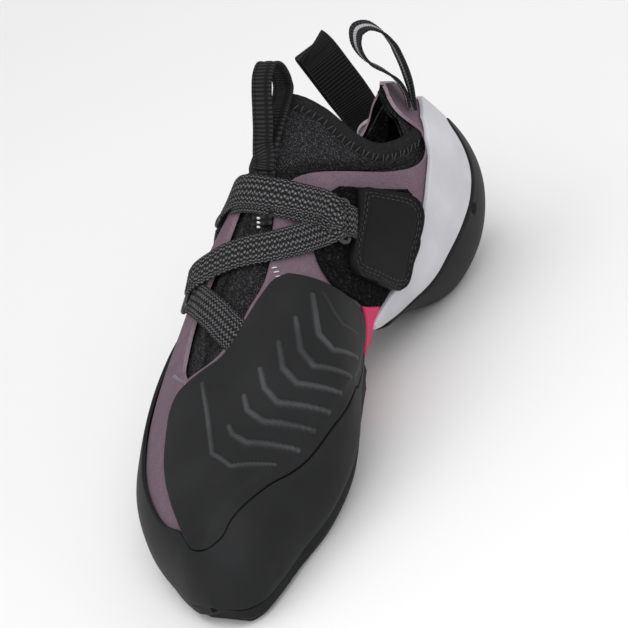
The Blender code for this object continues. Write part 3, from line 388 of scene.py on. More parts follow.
class Shade:
    """A node's output. Arithmetic on shades adds Math nodes to their material."""

    def __init__(self, tree, output=None):
        self.tree = tree
        self.output = output

    def node(self, kind, settings=None, values=None, output=0):
        """New node: its settings are set first, then the values or links of its sockets."""
        made = self.tree.nodes.new(kind)
        for key, value in (settings or {}).items():
            setattr(made, key, value)
        for key, value in (values or {}).items():
            if isinstance(value, Shade):
                self.tree.links.new(value.output, made.inputs[key])
            else:
                made.inputs[key].default_value = value
        return Shade(self.tree, made.outputs[output])

    def sum(self, operation, *values):
        """Math node of an operation."""
        return self.node("ShaderNodeMath", {"operation": operation}, dict(enumerate(values)))

    def __add__(self, other):
        return self.sum("ADD", self, other)

    __radd__ = __add__

    def __sub__(self, other):
        return self.sum("SUBTRACT", self, other)

    def __rsub__(self, other):
        return self.sum("SUBTRACT", other, self)

    def __mul__(self, other):
        return self.sum("MULTIPLY", self, other)

    __rmul__ = __mul__

    def sine(self):
        return self.sum("SINE", self)

    def step(self, low, high):
        """Smooth step from 0 at low to 1 at high."""
        return self.node(
            "ShaderNodeMapRange", {"interpolation_type": "SMOOTHSTEP"},
            {"Value": self, "From Min": low, "From Max": high},
        )

    def noise(self, scale, detail=2.0, stretch=(1.0, 1.0, 1.0)):
        """Noise over the object, at a scale in cells per metre."""
        where = self.node("ShaderNodeTexCoord", output="Object")
        if stretch != (1.0, 1.0, 1.0):
            where = self.node("ShaderNodeMapping", None, {"Vector": where, "Scale": stretch})
        return self.node("ShaderNodeTexNoise", None, {"Vector": where, "Scale": scale, "Detail": detail})

    def cloth(self):
        """Metres across and along the cloth."""
        where = self.node("ShaderNodeUVMap", {"uv_map": "UVMap"})
        across = self.node("ShaderNodeSeparateXYZ", None, {0: where}, 0)
        along = self.node("ShaderNodeSeparateXYZ", None, {0: where}, 1)
        return across, along

    def mix(self, first, second):
        """Colour between two colours, by this shade."""
        first, second = (
            colour if isinstance(colour, Shade) else (*colour, 1.0) for colour in (first, second)
        )
        return self.node("ShaderNodeMix", {"data_type": "RGBA"}, {0: self, 6: first, 7: second}, 2)

    def bump(self, height, depth):
        """Normal of a relief: its height by shade, and its depth in metres."""
        return self.node("ShaderNodeBump", None, {"Strength": 1.0, "Distance": depth, "Height": height})


def finish(name, sockets, gloss=0.5):
    """New material. sockets is a function that gives the shader's values from a first shade."""
    made = bpy.data.materials.new(name)
    made.use_nodes = True
    shader = made.node_tree.nodes["Principled BSDF"]
    shader.inputs["Specular IOR Level"].default_value = gloss
    for key, value in sockets(Shade(made.node_tree)).items():
        if isinstance(value, Shade):
            made.node_tree.links.new(value.output, shader.inputs[key])
        else:
            shader.inputs[key].default_value = value
    return made


def tone(colour, factor):
    """Colour made lighter or darker by a factor."""
    return tuple(min(1.0, part * factor) for part in colour)


def microfibre(name, colour):
    """Brushed microfibre: short nap, soft clouds of lighter and darker fibres."""
    def sockets(shade):
        nap, cloud = shade.noise(2600, 3.0), shade.noise(160, 3.0)
        mixed = nap.step(0.30, 0.72) * 0.80 + cloud.step(0.25, 0.75) * 0.20
        return {
            "Base Color": mixed.mix(tone(colour, 0.72), tone(colour, 1.32)),
            "Roughness": 0.86 + nap * 0.10,
            "Normal": shade.bump(nap, 0.00020),
        }
    return finish(name, sockets, 0.15)


def pile(name, colour, fleck):
    """Loop pile: short dark loops with a few that catch the light."""
    def sockets(shade):
        loops, tufts = shade.noise(2400, 4.0), shade.noise(700, 3.0)
        light = (loops * 0.6 + tufts * 0.4).step(0.53, 0.72)
        return {
            "Base Color": light.mix(colour, fleck),
            "Roughness": 0.95,
            "Normal": shade.bump(loops + tufts, 0.0009),
        }
    return finish(name, sockets, 0.10)


def heather_knit(name, colour, fleck, pitch):
    """Stretch knit of mixed dark and pale yarn, with fine courses and wales."""
    def sockets(shade):
        across, along = shade.cloth()
        wale = (across * (2 * math.pi / pitch)).sine()
        course = (along * (2 * math.pi / pitch)).sine()
        yarn, patch = shade.noise(3000, 2.0), shade.noise(1100, 2.0)
        light = (yarn * 0.72 + patch * 0.28).step(0.50, 0.66) * (0.72 + 0.28 * wale * course)
        return {
            "Base Color": light.mix(colour, fleck),
            "Roughness": 0.92,
            "Normal": shade.bump(wale * course * 0.5 + yarn, 0.00022),
        }
    return finish(name, sockets, 0.12)


def webbing(name, colour, fleck, pitch):
    """Woven webbing: slanting floats of pale yarn over a dark ground."""
    def sockets(shade):
        across, along = shade.cloth()
        turn = 2 * math.pi / pitch
        row = (along * turn).sine()
        weave = (across * turn + row * 0.9).sine() * row
        yarn = shade.noise(2600, 2.0)
        light = (weave * 0.42 + yarn).step(0.42, 1.05)
        return {
            "Base Color": light.mix(colour, fleck),
            "Roughness": 0.80,
            "Normal": shade.bump(weave * 0.6 + yarn * 0.6, 0.00030),
        }
    return finish(name, sockets, 0.15)


def ribbed_tape(name, colour, rib, pitch, stripe=None, lines=()):
    """Woven tape with fine ribs across it, a woven stripe and dark lines along it."""
    def sockets(shade):
        across, along = shade.cloth()
        ribs = (along * (2 * math.pi / pitch)).sine() * 0.5 + 0.5
        yarn = shade.noise(2500, 2.0)
        mixed = (ribs * 0.7 + yarn * 0.3).step(0.25, 0.85).mix(colour, rib)
        for low, high, shown in lines:
            band = across.step(low, low + 0.0003) * (1 - across.step(high - 0.0003, high))
            mixed = (band * 0.85).mix(mixed, shown)
        if stripe is not None:
            low, high, shown = stripe
            band = across.step(low, low + 0.0004) * (1 - across.step(high - 0.0004, high))
            mixed = (band * (0.75 + 0.25 * ribs)).mix(mixed, shown)
        return {
            "Base Color": mixed,
            "Roughness": 0.72,
            "Normal": shade.bump(ribs + yarn * 0.3, 0.00018),
        }
    return finish(name, sockets, 0.15)


def rubber(name, colour, roughness, haze=1.35, grain=0.00005, gloss=0.14, ridge_highlight=None):
    """Moulded rubber: faint haze, fine grain and a few rubbed places. The last argument is the colour of a
    painted highlight on the ridge crests that the mesh carries.
    """
    def sockets(shade):
        cloud, fine = shade.noise(45, 4.0), shade.noise(1500, 3.0)
        rubbed = shade.noise(18, 5.0).step(0.55, 0.75)
        shown = (cloud.step(0.30, 0.75) * 0.6 + fine * 0.4).mix(tone(colour, 0.80), tone(colour, haze))
        dull = roughness + (fine - 0.5) * 0.12 + rubbed * 0.08
        # Painted highlight: the ridge crests are coloured lighter, patchy by the cloud noise, and are also
        # made less rough.
        if ridge_highlight is not None:
            crest_highlight_and_gloss = shade.node("ShaderNodeAttribute", {"attribute_name": "crest_highlight_and_gloss"}, output=2)
            shown = (crest_highlight_and_gloss * (0.45 + 0.55 * cloud.step(0.35, 0.65))).mix(shown, ridge_highlight)
            dull = dull - crest_highlight_and_gloss * 0.14
        return {
            "Base Color": shown,
            "Roughness": dull,
            "Normal": shade.bump(fine, grain),
        }
    return finish(name, sockets, gloss)


def wire_finish(name, colour):
    """Dark plated wire, a little uneven."""
    def sockets(shade):
        fine = shade.noise(900, 3.0)
        return {
            "Base Color": fine.mix(tone(colour, 0.7), tone(colour, 1.3)),
            "Metallic": 0.85,
            "Roughness": 0.30 + fine * 0.12,
            "Normal": shade.bump(fine, 0.00002),
        }
    return finish(name, sockets)


def thread_finish(name, colour):
    """Sewing thread, twisted."""
    def sockets(shade):
        twist = shade.noise(4200, 2.0)
        return {
            "Base Color": twist.mix(tone(colour, 0.65), tone(colour, 1.2)),
            "Roughness": 0.65,
            "Normal": shade.bump(twist, 0.00008),
        }
    return finish(name, sockets)


def floor_finish(name, colour):
    """Plain pale studio floor."""
    def sockets(shade):
        cloud = shade.noise(3.0, 2.0)
        return {
            "Base Color": cloud.mix(tone(colour, 0.995), tone(colour, 1.005)),
            "Roughness": 0.90,
        }
    return finish(name, sockets)


def deselect():
    """Object mode with nothing selected."""
    if bpy.context.object is not None and bpy.context.object.mode != "OBJECT":
        bpy.ops.object.mode_set(mode="OBJECT")
    bpy.ops.object.select_all(action="DESELECT")


def new_grid(name, points, cloth=None):
    """Grid primitive, its points moved to their places. cloth is its width and length in metres."""
    rows, columns = points.shape[:2]
    deselect()
    bpy.ops.mesh.primitive_grid_add(x_subdivisions=columns - 1, y_subdivisions=rows - 1, size=1.0)
    piece = bpy.context.object
    piece.name = piece.data.name = name
    piece.data.vertices.foreach_set("co", np.ascontiguousarray(points, np.float32).reshape(-1))
    if cloth is not None:
        layer = piece.data.uv_layers["UVMap"].data
        marks = np.empty(len(layer) * 2, np.float32)
        layer.foreach_get("uv", marks)
        marks = marks.reshape(-1, 2) * np.array(cloth, np.float32)
        layer.foreach_set("uv", marks.reshape(-1))
    return piece


def weld(fill=False):
    """Joins the active piece's points that meet. fill also closes its ends and turns its faces outwards."""
    bpy.ops.object.mode_set(mode="EDIT")
    bpy.ops.mesh.select_all(action="SELECT")
    bpy.ops.mesh.remove_doubles(threshold=1e-6)
    if fill:
        bpy.ops.mesh.select_all(action="SELECT")
        bpy.ops.mesh.fill_holes(sides=0)
        bpy.ops.mesh.select_all(action="SELECT")
        bpy.ops.mesh.normals_make_consistent(inside=False)
    bpy.ops.object.mode_set(mode="OBJECT")


def dress(piece, looks, angle=50.0):
    """Adds the finishes and shades the piece smoothly where its faces meet at less than the angle."""
    for look in looks:
        piece.data.materials.append(look)
    deselect()
    piece.select_set(True)
    bpy.context.view_layer.objects.active = piece
    bpy.ops.object.shade_smooth_by_angle(angle=math.radians(angle))
    return piece


def wall(name, outer, inner, looks, cloth=None, closed=False, marks=None):
    """Closed wall between two grids of points. looks are those of its outside, inside and rim.

    marks gives a value to each point of the outside, for its material: the toe patch's ridge heights, where
    its rubber paints a highlight.
    """
    piece = new_grid(name, outer, cloth)
    mesh = piece.data
    order = mesh.attributes.new("order", "INT", "POINT")
    order.data.foreach_set("value", np.arange(outer.shape[0] * outer.shape[1], dtype=np.int32))
    row, across = outer.shape[0] // 2, outer.shape[1] // 2
    corner = outer[row, across]
    facing = np.cross(outer[row, across + 1] - corner, outer[row + 1, across] - corner)
    if np.dot(facing, corner - inner[row, across]) < 0:
        mesh.flip_normals()
    if closed:
        weld()
    for look in looks:
        mesh.materials.append(look)
    solid = piece.modifiers.new("wall", "SOLIDIFY")
    solid.thickness = 0.001
    solid.offset = -1.0
    solid.material_offset = min(1, len(looks) - 1)
    solid.material_offset_rim = min(2, len(looks) - 1)
    bpy.ops.object.modifier_apply(modifier=solid.name)
    numbers = np.empty(len(mesh.vertices), np.int32)
    mesh.attributes["order"].data.foreach_get("value", numbers)
    half = len(numbers) // 2
    points = np.concatenate([outer.reshape(-1, 3)[numbers[:half]], inner.reshape(-1, 3)[numbers[half:]]])
    mesh.vertices.foreach_set("co", points.astype(np.float32).reshape(-1))
    mesh.attributes.remove(mesh.attributes["order"])
    # The ridge heights are kept on the mesh for the patch rubber's painted highlight.
    if marks is not None:
        shown = np.concatenate([marks.reshape(-1)[numbers[:half]], np.zeros(len(numbers) - half)])
        mesh.attributes.new("crest_highlight_and_gloss", "FLOAT", "POINT").data.foreach_set("value", shown.astype(np.float32))
    mesh.update()
    return dress(piece, ())


def edge_share(distance, radius):
    """Share of a piece's thickness at a distance from its edge, rounded with a radius."""
    return RIM_SHARE + (1 - RIM_SHARE) * rounded(distance, radius)


def laid(name, stations, turns, low, thickness, looks, radius=0.0006, relief=0.0):
    """Piece of a thickness laid on the last at a height, its edges rounded."""
    flat = place(stations, turns, low)
    share = edge_share(edge_distance(flat), radius)
    return wall(name, place(stations, turns, low + thickness * share + relief), flat, looks)


def strip(pairs, rows, columns, tightness=0.75):
    """Stations and turns between paired edge points."""
    block = np.array(pairs, dtype=float)
    along = close_ends(rows, tightness)
    first, second = curve(block[:, 0], along), curve(block[:, 1], along)
    across = close_ends(columns, tightness)
    return tuple(spread(first[:, k], second[:, k], across) for k in (0, 1))


def sweep(name, rings, looks, round_trip=False, cloth=None):
    """Tube through rings of points, closed at its ends."""
    rings = np.concatenate([rings, rings[:, :1]], axis=1)
    if round_trip:
        rings = np.concatenate([rings, rings[:1]], axis=0)
    piece = new_grid(name, rings, cloth)
    weld(fill=True)
    return dress(piece, looks)


def stitches(name, centres, ways, normals, length, width, look, lift=0.35):
    """Row of stitches: one is modelled and copied to each place, sunk a little into the cloth."""
    deselect()
    bpy.ops.mesh.primitive_uv_sphere_add(segments=8, ring_count=6, radius=1.0)
    pattern = bpy.context.object
    shape = np.array([vertex.co[:] for vertex in pattern.data.vertices])
    faces = [tuple(face.vertices) for face in pattern.data.polygons]
    bpy.data.objects.remove(pattern, do_unlink=True)
    lengths = np.broadcast_to(length, len(centres))
    points, all_faces = [], []
    for k in range(len(centres)):
        along = ways[k] / np.linalg.norm(ways[k])
        across = np.cross(normals[k], along)
        across /= np.linalg.norm(across)
        up = np.cross(along, across)
        stretch = np.sign(shape[:, 2:]) * np.abs(shape[:, 2:]) ** 0.7
        body = (
            stretch * along * lengths[k] / 2 + shape[:, :1] * across * width / 2
            + (shape[:, 1:2] - stretch**2 * 0.5 + lift) * up * width / 2
        )
        all_faces += [tuple(corner + k * len(shape) for corner in face) for face in faces]
        points.append(centres[k] + body)
    mesh = bpy.data.meshes.new(name)
    mesh.from_pydata(np.concatenate(points).tolist(), [], all_faces)
    piece = bpy.data.objects.new(name, mesh)
    bpy.context.collection.objects.link(piece)
    deselect()
    piece.select_set(True)
    bpy.context.view_layer.objects.active = piece
    bpy.ops.object.mode_set(mode="EDIT")
    bpy.ops.mesh.select_all(action="SELECT")
    bpy.ops.mesh.normals_make_consistent(inside=False)
    bpy.ops.object.mode_set(mode="OBJECT")
    return dress(piece, (look,), 80.0)


def along_line(line, pitch, start=0.5):
    """Even places along a line of (station, turn) points, by distance over the last."""
    dense = curve(line, np.linspace(0, 1, 400))
    points = place(dense[:, 0], dense[:, 1])
    passed = np.concatenate([[0], np.cumsum(np.linalg.norm(np.diff(points, axis=0), axis=1))])
    count = max(1, int(passed[-1] / pitch))
    marks = (np.arange(count) + start) * passed[-1] / count
    return np.interp(marks, passed, dense[:, 0]), np.interp(marks, passed, dense[:, 1])


def seam(name, line, height, length, pitch, width, look):
    """Running stitches along a line over the last, at a height."""
    station, turn = along_line(line, pitch)
    centres = place(station, turn, height)
    return stitches(name, centres, np.gradient(centres, axis=0), outward(station, turn), length, width, look)


def upper_edges(stations):
    """Turns of the throat's medial and lateral edges at stations."""
    return column(THROAT, stations, 1), column(THROAT, stations, 2)


def collar_station(turn):
    """Station of the collar's edge at a turn."""
    from_heel = np.where(turn > 0.5, 1 - turn, turn)
    return np.where(turn > 0.5, column(COLLAR, from_heel, 2), column(COLLAR, from_heel, 1))


def colours():
    """Colours set for this scene."""
    return bpy.context.scene.shoe_colours


def sizes():
    """Sizes of the detail set for this scene."""
    return bpy.context.scene.shoe_sizes


def colour_property(name, description, default):
    return FloatVectorProperty(
        name=name, description=description, default=default, subtype="COLOR", min=0.0, max=1.0, size=3,
    )


def length_property(name, description, default):
    return FloatProperty(
        name=name, description=description, default=default, subtype="DISTANCE", unit="LENGTH",
    )


class ShoeColours(bpy.types.PropertyGroup):
    """Colours of the shoe's finishes."""

    mauve: colour_property("Mauve", "Microfibre of the upper", (0.150, 0.105, 0.130))
    cut_edge: colour_property("Cut Edge", "Cut edge of the microfibre", (0.330, 0.250, 0.290))
    lining: colour_property("Lining", "Brushed lining of the heel and insole", (0.007, 0.0065, 0.007))
    knit: colour_property("Knit", "Dark yarn of the sock", (0.011, 0.011, 0.012))
    knit_fleck: colour_property("Knit Fleck", "Pale yarn of the sock", (0.125, 0.125, 0.132))
    rubber: colour_property("Rubber", "Sole, rand, patch and heel cup", (0.0110, 0.0113, 0.0120))
    white: colour_property("White", "Heel rand", (0.560, 0.560, 0.590))
    pink: colour_property("Pink", "Rand under the arch", (0.560, 0.030, 0.110))
    webbing: colour_property("Webbing", "Ground of the straps", (0.009, 0.009, 0.0095))
    webbing_fleck: colour_property("Webbing Fleck", "Pale floats of the straps", (0.180, 0.180, 0.187))
    tape: colour_property("Tape", "Ground of the pull loops", (0.005, 0.005, 0.0055))
    tape_rib: colour_property("Tape Rib", "Ribs of the pull loops", (0.024, 0.024, 0.026))
    stripe: colour_property("Stripe", "Pale stripe of the medial pull loop", (0.480, 0.480, 0.510))
    pile: colour_property("Pile", "Loop pad of the closure", (0.005, 0.005, 0.0055))
    wire: colour_property("Wire", "Rings", (0.060, 0.060, 0.064))
    thread: colour_property("Thread", "Stitches of the tab and the collar", (0.024, 0.024, 0.026))
    pale_thread: colour_property("Pale Thread", "Bartacks", (0.700, 0.690, 0.700))
    floor: colour_property("Floor", "Studio floor", (0.860, 0.860, 0.860))


class ShoeSizes(bpy.types.PropertyGroup):
    """Sizes of the shoe's surface detail."""

    binding_width: length_property("Binding Width", "Width of the rolled collar", 0.0062)
    binding_thickness: length_property("Binding Thickness", "Thickness of the rolled collar", 0.0031)
    binding_stitch: length_property("Binding Stitch", "Distance between the collar's stitches", 0.0023)
    ridge_height: length_property("Ridge Height", "Height of the toe patch's ridges", 0.0007)
    ridge_width: length_property("Ridge Width", "Width of the toe patch's ridges", 0.0030)
    hem_width: length_property("Hem Width", "Width of the folded throat edge", 0.0024)
    weave_pitch: length_property("Weave Pitch", "Repeat of the webbing's weave", 0.0016)
    knit_pitch: length_property("Knit Pitch", "Repeat of the sock's knit", 0.0011)
    tape_pitch: length_property("Tape Rib Pitch", "Distance between the tape's ribs", 0.0010)
    stitch_length: length_property("Stitch Length", "Length of the tab's stitches", 0.0017)
    stitch_pitch: length_property("Stitch Pitch", "Distance between the tab's stitches", 0.0024)
    thread_width: length_property("Thread Width", "Thickness of the sewing thread", 0.00040)
    wire_sides: IntProperty(name="Wire Sides", description="Faces around the ring's wire", default=14, min=6)


def rubbers():
    """Finishes of the dark rubber pieces, made once."""
    if "sole_rubber" not in bpy.data.materials:
        shown = colours().rubber
        rubber("sole_rubber", tone(shown, 0.95), 0.62)
        rubber("rand_rubber", tone(shown, 1.10), 0.58)
        # The patch rubber paints a highlight five times lighter than its colour on the ridge crests.
        rubber("patch_rubber", tone(shown, 1.05), 0.52, ridge_highlight=tone(shown, 5.0))
        rubber("cup_rubber", tone(shown, 0.95), 0.55)
    return bpy.data.materials


def thread(kind, factor=1.0):
    """Thread finish by kind, made once."""
    name = f"{kind}_thread"
    if name not in bpy.data.materials:
        shown = {"dark": colours().thread, "pale": colours().pale_thread, "mauve": colours().cut_edge}[kind]
        thread_finish(name, tone(shown, factor))
    return bpy.data.materials[name]


def settle(piece, slot, *nodes):
    """Rides the piece on the shoe and hides the plain solids that it stands for."""
    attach(piece, "root")
    if nodes:
        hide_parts(*nodes)
    return {"FINISHED"}


class SHOE_OT_upper(bpy.types.Operator):
    """Upper with its heel piece, cut edge and lining"""

    bl_idname = "shoe.upper"
    bl_label = "Upper"

    def execute(self, context):
        hem, hem_rise, hem_edge = sizes().hem_width, 0.00045, 0.0005
        stations = np.concatenate([[0.014], np.linspace(0.022, 1.0, 250)])
        medial, lateral = upper_edges(stations)
        turns = spread(lateral - 1, medial, close_ends(151, 0.5))
        grid = stations[:, None] * np.ones(turns.shape[1])
        flat = place(grid, turns)
        open_throat = ease(stations, 0.330, 0.350) * (1 - ease(stations, 0.500, 0.560))
        distance = edge_distance(flat, (False, False, True, True))
        height = hem_rise * rounded(distance, hem_edge) * (1 - ease(distance, hem - hem_edge, hem))
        outer = flat + outward(grid, turns) * (height * open_throat[:, None])[..., None]
        inner = place(grid, turns, -UPPER_WALL)
        outer = np.concatenate([np.broadcast_to(tip(0.0), outer[:1].shape), outer])
        inner = np.concatenate([np.broadcast_to(tip(-UPPER_WALL), inner[:1].shape), inner])
        looks = (
            microfibre("mauve_microfibre", colours().mauve),
            pile("brushed_lining", colours().lining, tone(colours().lining, 3.0)),
            microfibre("cut_microfibre", colours().cut_edge),
        )
        return settle(wall("upper_skin", outer, inner, looks, closed=True), "mauve", "upper")


class SHOE_OT_sock(bpy.types.Operator):
    """Stretch sock under the throat and around the ankle"""

    bl_idname = "shoe.sock"
    bl_label = "Sock"

    def execute(self, context):
        start, closed, rows, middle_columns = 0.300, 0.360, 200, 80
        offsets = np.array([-0.045, -0.030, -0.018, -0.008, 0.0, 0.005, 0.010, 0.015, 0.020, 0.026])
        side = len(offsets)

        def turns_at(stations):
            medial, lateral = upper_edges(np.maximum(stations, closed))
            columns = [medial[:, k] + offsets[k] for k in range(side)]
            low, high = medial[:, side] + 0.032, lateral[:, side] - 0.032
            columns += [low + (high - low) * share for share in np.linspace(0, 1, middle_columns)]
            columns += [lateral[:, -1 - k] - offsets[k] for k in reversed(range(side))]
            return np.stack(columns, -1)

        # The sock's upper end follows the collar, whose station depends on the turn it is reached at
        end = np.ones((1, 2 * side + middle_columns))
        for _ in range(60):
            end = 0.7 * end + 0.3 * collar_station(turns_at(end))
        share = np.linspace(0, 1, rows)[:, None]
        stations = start + (end - start) * share
        turns = turns_at(stations)
        medial, lateral = upper_edges(np.maximum(stations, closed))
        inside = np.minimum(turns - medial, lateral - turns)
        tucked = -(UPPER_WALL + GAP + SOCK_CLEARANCE)
        shown = ease(inside, 0.008, 0.030) * ease(stations, closed + 0.010, closed + 0.045)
        high = tucked + (-SEAT - tucked) * shown
        outer, inner = place(stations, turns, high), place(stations, turns, high - SOCK_WALL)
        cloth = (0.130, 0.140)
        look = heather_knit("heather_knit", colours().knit, colours().knit_fleck, sizes().knit_pitch)
        piece = wall("sock_knit", outer, inner, (look,), cloth)
        return settle(piece, "knit", "sock")


class SHOE_OT_binding(bpy.types.Operator):
    """Rolled collar of the sock with its overedge stitches"""

    bl_idname = "shoe.binding"
    bl_label = "Collar Binding"

    def execute(self, context):
        width, thickness = sizes().binding_width, sizes().binding_thickness
        # Moves over the last in metres down from the collar's edge become stations and turns
        turn = np.linspace(0.245, 0.795, 320)
        station = collar_station(turn)
        step = 0.001
        edge = place(station, turn)
        tangent = unit(np.gradient(edge, axis=0))
        by_station = (place(station, turn) - place(station - step, turn)) / step
        by_turn = (place(station, turn + step) - place(station, turn - step)) / (2 * step)
        down = unit(np.cross(outward(station, turn), tangent))
        down *= np.sign(np.sum(down * -by_station, axis=1, keepdims=True))
        gram = np.stack([
            np.stack([np.sum(by_station**2, 1), np.sum(by_station * by_turn, 1)], -1),
            np.stack([np.sum(by_station * by_turn, 1), np.sum(by_turn**2, 1)], -1),
        ], -2)
        target = np.stack([np.sum(by_station * down, 1), np.sum(by_turn * down, 1)], -1)
        way = np.linalg.solve(gram, target[..., None])[..., 0]
        tuck = 0.0026 * (1 - ease(turn, 0.270, 0.292) * (1 - ease(turn, 0.755, 0.785)))
        angle = np.linspace(0, 2 * math.pi, 28, endpoint=False)
        shape = np.sign(np.sin(angle)) * np.abs(np.sin(angle)) ** 0.8
        run = width * (0.5 - 0.5 * np.cos(angle)) - 0.0004

        def rolled(distance, height):
            s = station[:, None] + way[:, :1] * distance
            v = turn[:, None] + way[:, 1:] * distance
            return place(s, v, height - tuck[:, None])

        pucker = 1 + 0.05 * np.sin(np.arange(len(turn)) * 0.8)[:, None]
        height = -0.0007 + thickness / 2 * shape * pucker
        dark, pale = tone(colours().knit, 1.1), tone(colours().knit_fleck, 0.28)
        look = heather_knit("binding_knit", dark, pale, 0.0008)
        around, along = 0.014, 0.180
        roll = sweep("collar_roll", rolled(run[None, :], height), (look,), cloth=(around, along))
        settle(roll, "knit")

        points = rolled(np.full((1, 1), width * 0.86), np.zeros((1, 1)))[:, 0]
        passed = np.concatenate([[0], np.cumsum(np.linalg.norm(np.diff(points, axis=0), axis=1))])
        inner_part = (turn > 0.290) & (turn < 0.765)
        first, last = passed[inner_part][0], passed[inner_part][-1]
        marks = np.arange(first, last, sizes().binding_stitch)
        where = np.interp(marks, passed, np.arange(len(turn)))
        low = rolled(np.full((1, 1), width * 1.04), np.full((1, 1), 0.0001))[:, 0]
        high = rolled(np.full((1, 1), width * 0.62), np.full((1, 1), thickness * 0.33))[:, 0]
        centres, ways, normals = [], [], []
        for place_number, k in enumerate(where):
            k = int(k)
            lean = tangent[k] * sizes().binding_stitch * 0.35 * (1 if place_number % 2 else -1)
            centres.append((low[k] + high[k]) / 2 + outward(station[k], turn[k]) * 0.0003)
            ways.append(high[k] - low[k] + lean)
            normals.append(outward(station[k], turn[k]))
        length, thread_width = 0.0030, 0.00055
        row = stitches(
            "collar_stitches", np.array(centres), np.array(ways), np.array(normals), length, thread_width,
            thread("dark"),
        )
        return settle(row, "knit")


class SHOE_OT_insole(bpy.types.Operator):
    """Finish of the insole inside the shoe"""

    bl_idname = "shoe.insole"
    bl_label = "Insole"

    def execute(self, context):
        look = pile("insole_lining", colours().lining, tone(colours().lining, 2.5))
        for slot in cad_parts["insole"].material_slots:
            slot.material = look
        return {"FINISHED"}


class SHOE_OT_outsole(bpy.types.Operator):
    """Forefoot sole with its upright edge and bevel"""

    bl_idname = "shoe.outsole"
    bl_label = "Outsole"

    def execute(self, context):
        start, end = SOLE_STATIONS
        stations = start + (end - start) * close_ends(130, EVEN_ENDS)
        top_turns = np.linspace(WELT_TURN, -WELT_TURN, SOLE_POINTS_ACROSS)
        top = place(stations[:, None], top_turns[None, :], GAP)
        spine = on_last(stations, np.zeros(len(stations)))[:, 2] - GAP - SOLE_FLATTENING
        thin_from, thin_run = 0.40, 0.08
        thinner = 1 - SOLE_ARCH_THINNING * np.clip((stations - thin_from) / thin_run, 0, 1)
        under_z = np.maximum(spine - SOLE_THICKNESS * thinner, 0.0)
        profiles = []
        rims = [
            place(stations, np.full(len(stations), turn), GAP + RAND_THICKNESS)
            for turn in (WELT_TURN, -WELT_TURN)
        ]
        middle = (rims[0][:, 0] + rims[1][:, 0]) / 2
        # The upright edge takes at most this share of the sole's height, leans in by this share of the
        # bevel, and keeps this far from the middle
        upright, lean, least = 0.6, 0.1, 0.0002
        for rim, way in zip(rims, (1, -1)):
            along = unit(np.gradient(rim[:, :2], axis=0))
            inward = np.stack([-along[:, 1], along[:, 0], np.zeros(len(along))], -1) * way
            drop = np.minimum(SOLE_SIDE, upright * (rim[:, 2] - under_z))
            side = rim + inward * lean * SOLE_BEVEL
            side[:, 2] -= drop
            foot = rim + inward * SOLE_BEVEL
            foot[:, 2] = under_z
            for line in (side, foot):
                line[:, 0] = middle - way * np.maximum(way * (middle - line[:, 0]), least)
            profile = []
            for share in np.linspace(0, 1, 6):
                profile.append(rim * (1 - share) + side * share)
            for share in np.linspace(0, 1, 9)[1:]:
                bend = share**1.35
                point = side * (1 - share) + foot * share
                point[:, 2] = side[:, 2] * (1 - bend) + foot[:, 2] * bend
                profile.append(point)
            profiles.append(np.stack(profile, 1))
        medial, lateral = profiles
        between = SOLE_POINTS_ACROSS - 2 * medial.shape[1]
        share = np.linspace(0, 1, between + 2)[1:-1][None, :, None]
        bottom = medial[:, -1:] * (1 - share) + lateral[:, -1:] * share
        outer = np.concatenate([medial, bottom, lateral[:, ::-1]], axis=1)
        return settle(wall("outsole_rubber", outer, top, (rubbers()["sole_rubber"],)), "sole", "outsole")


class SHOE_OT_toe_rand(bpy.types.Operator):
    """Rand around the toe, above the sole's edge"""

    bl_idname = "shoe.toe_rand"
    bl_label = "Toe Rand"

    def execute(self, context):
        # Its upper edge meets the patch on the medial side and in front, and leaves it on the lateral side
        foot = WELT_TURN + 2 * JOINT
        block, shares = np.array(PATCH, dtype=float), close_ends(300, EVEN_ENDS)
        patch_medial, patch_lateral = curve(block[:, 0], shares), curve(block[:, 1], shares)
        back = np.linspace(RAND_BACK, RAND_FRONT, 120)
        medial = np.interp(back, patch_medial[:, 0], patch_medial[:, 1]) - RAND_JOINT
        meeting = np.interp(back, patch_lateral[:, 0], patch_lateral[:, 1]) + RAND_JOINT
        leaves, left = 0.074, 0.104
        lateral = meeting + (column(RAND, back, 1) - meeting) * ease(back, leaves, left)
        front = 31
        across = np.linspace(0, 1, front + 2)[1:-1]
        angle = 2 * math.pi * foot
        side = RAND_FRONT * math.sin(angle) * (1 - 2 * across)
        ahead = np.hypot(side / math.tan(angle), RAND_FOOT)
        low_s = np.concatenate([back, np.hypot(side, ahead), back[::-1]])
        low_v = np.concatenate([
            np.full(len(back), foot), np.arctan2(side, ahead) / (2 * math.pi), np.full(len(back), 1 - foot),
        ])
        high_s = np.concatenate([back, np.full(front, RAND_FRONT), back[::-1]])
        high_v = np.concatenate([medial, medial[-1] + (lateral[-1] - medial[-1]) * across, lateral[::-1]])

        def flat(s, v):
            """Station and turn as a point of a plane around the toe's tip."""
            return np.stack([s * np.cos(2 * math.pi * v), s * np.sin(2 * math.pi * v)], -1)

        share = close_ends(40, EVEN_ENDS)[None, :, None]
        plane = flat(low_s, low_v)[:, None] * (1 - share) + flat(high_s, high_v)[:, None] * share
        stations = np.hypot(plane[..., 0], plane[..., 1])
        turns = np.arctan2(plane[..., 1], plane[..., 0]) / (2 * math.pi)

        # The last's normals turn fast by its tip, so there the rand goes over to one point ahead of it
        tip_end, first_normal = 0.009, 0.005

        def point(height):
            near = ease(stations, 0.0, tip_end)[..., None]
            height = np.broadcast_to(height, stations.shape)
            ahead = tip(0.0) + height[..., None] * np.array([0.0, 1.0, 0.0])
            return ahead * (1 - near) + place(np.maximum(stations, first_normal), turns, height) * near

        base = point(GAP + SEAT)
        share_up = edge_share(edge_distance(base), 0.0006)
        outer = point(GAP + SEAT + (RAND_THICKNESS - SEAT) * share_up)
        return settle(wall("toe_rand_rubber", outer, base, (rubbers()["rand_rubber"],)), "rand", "toe_rand")


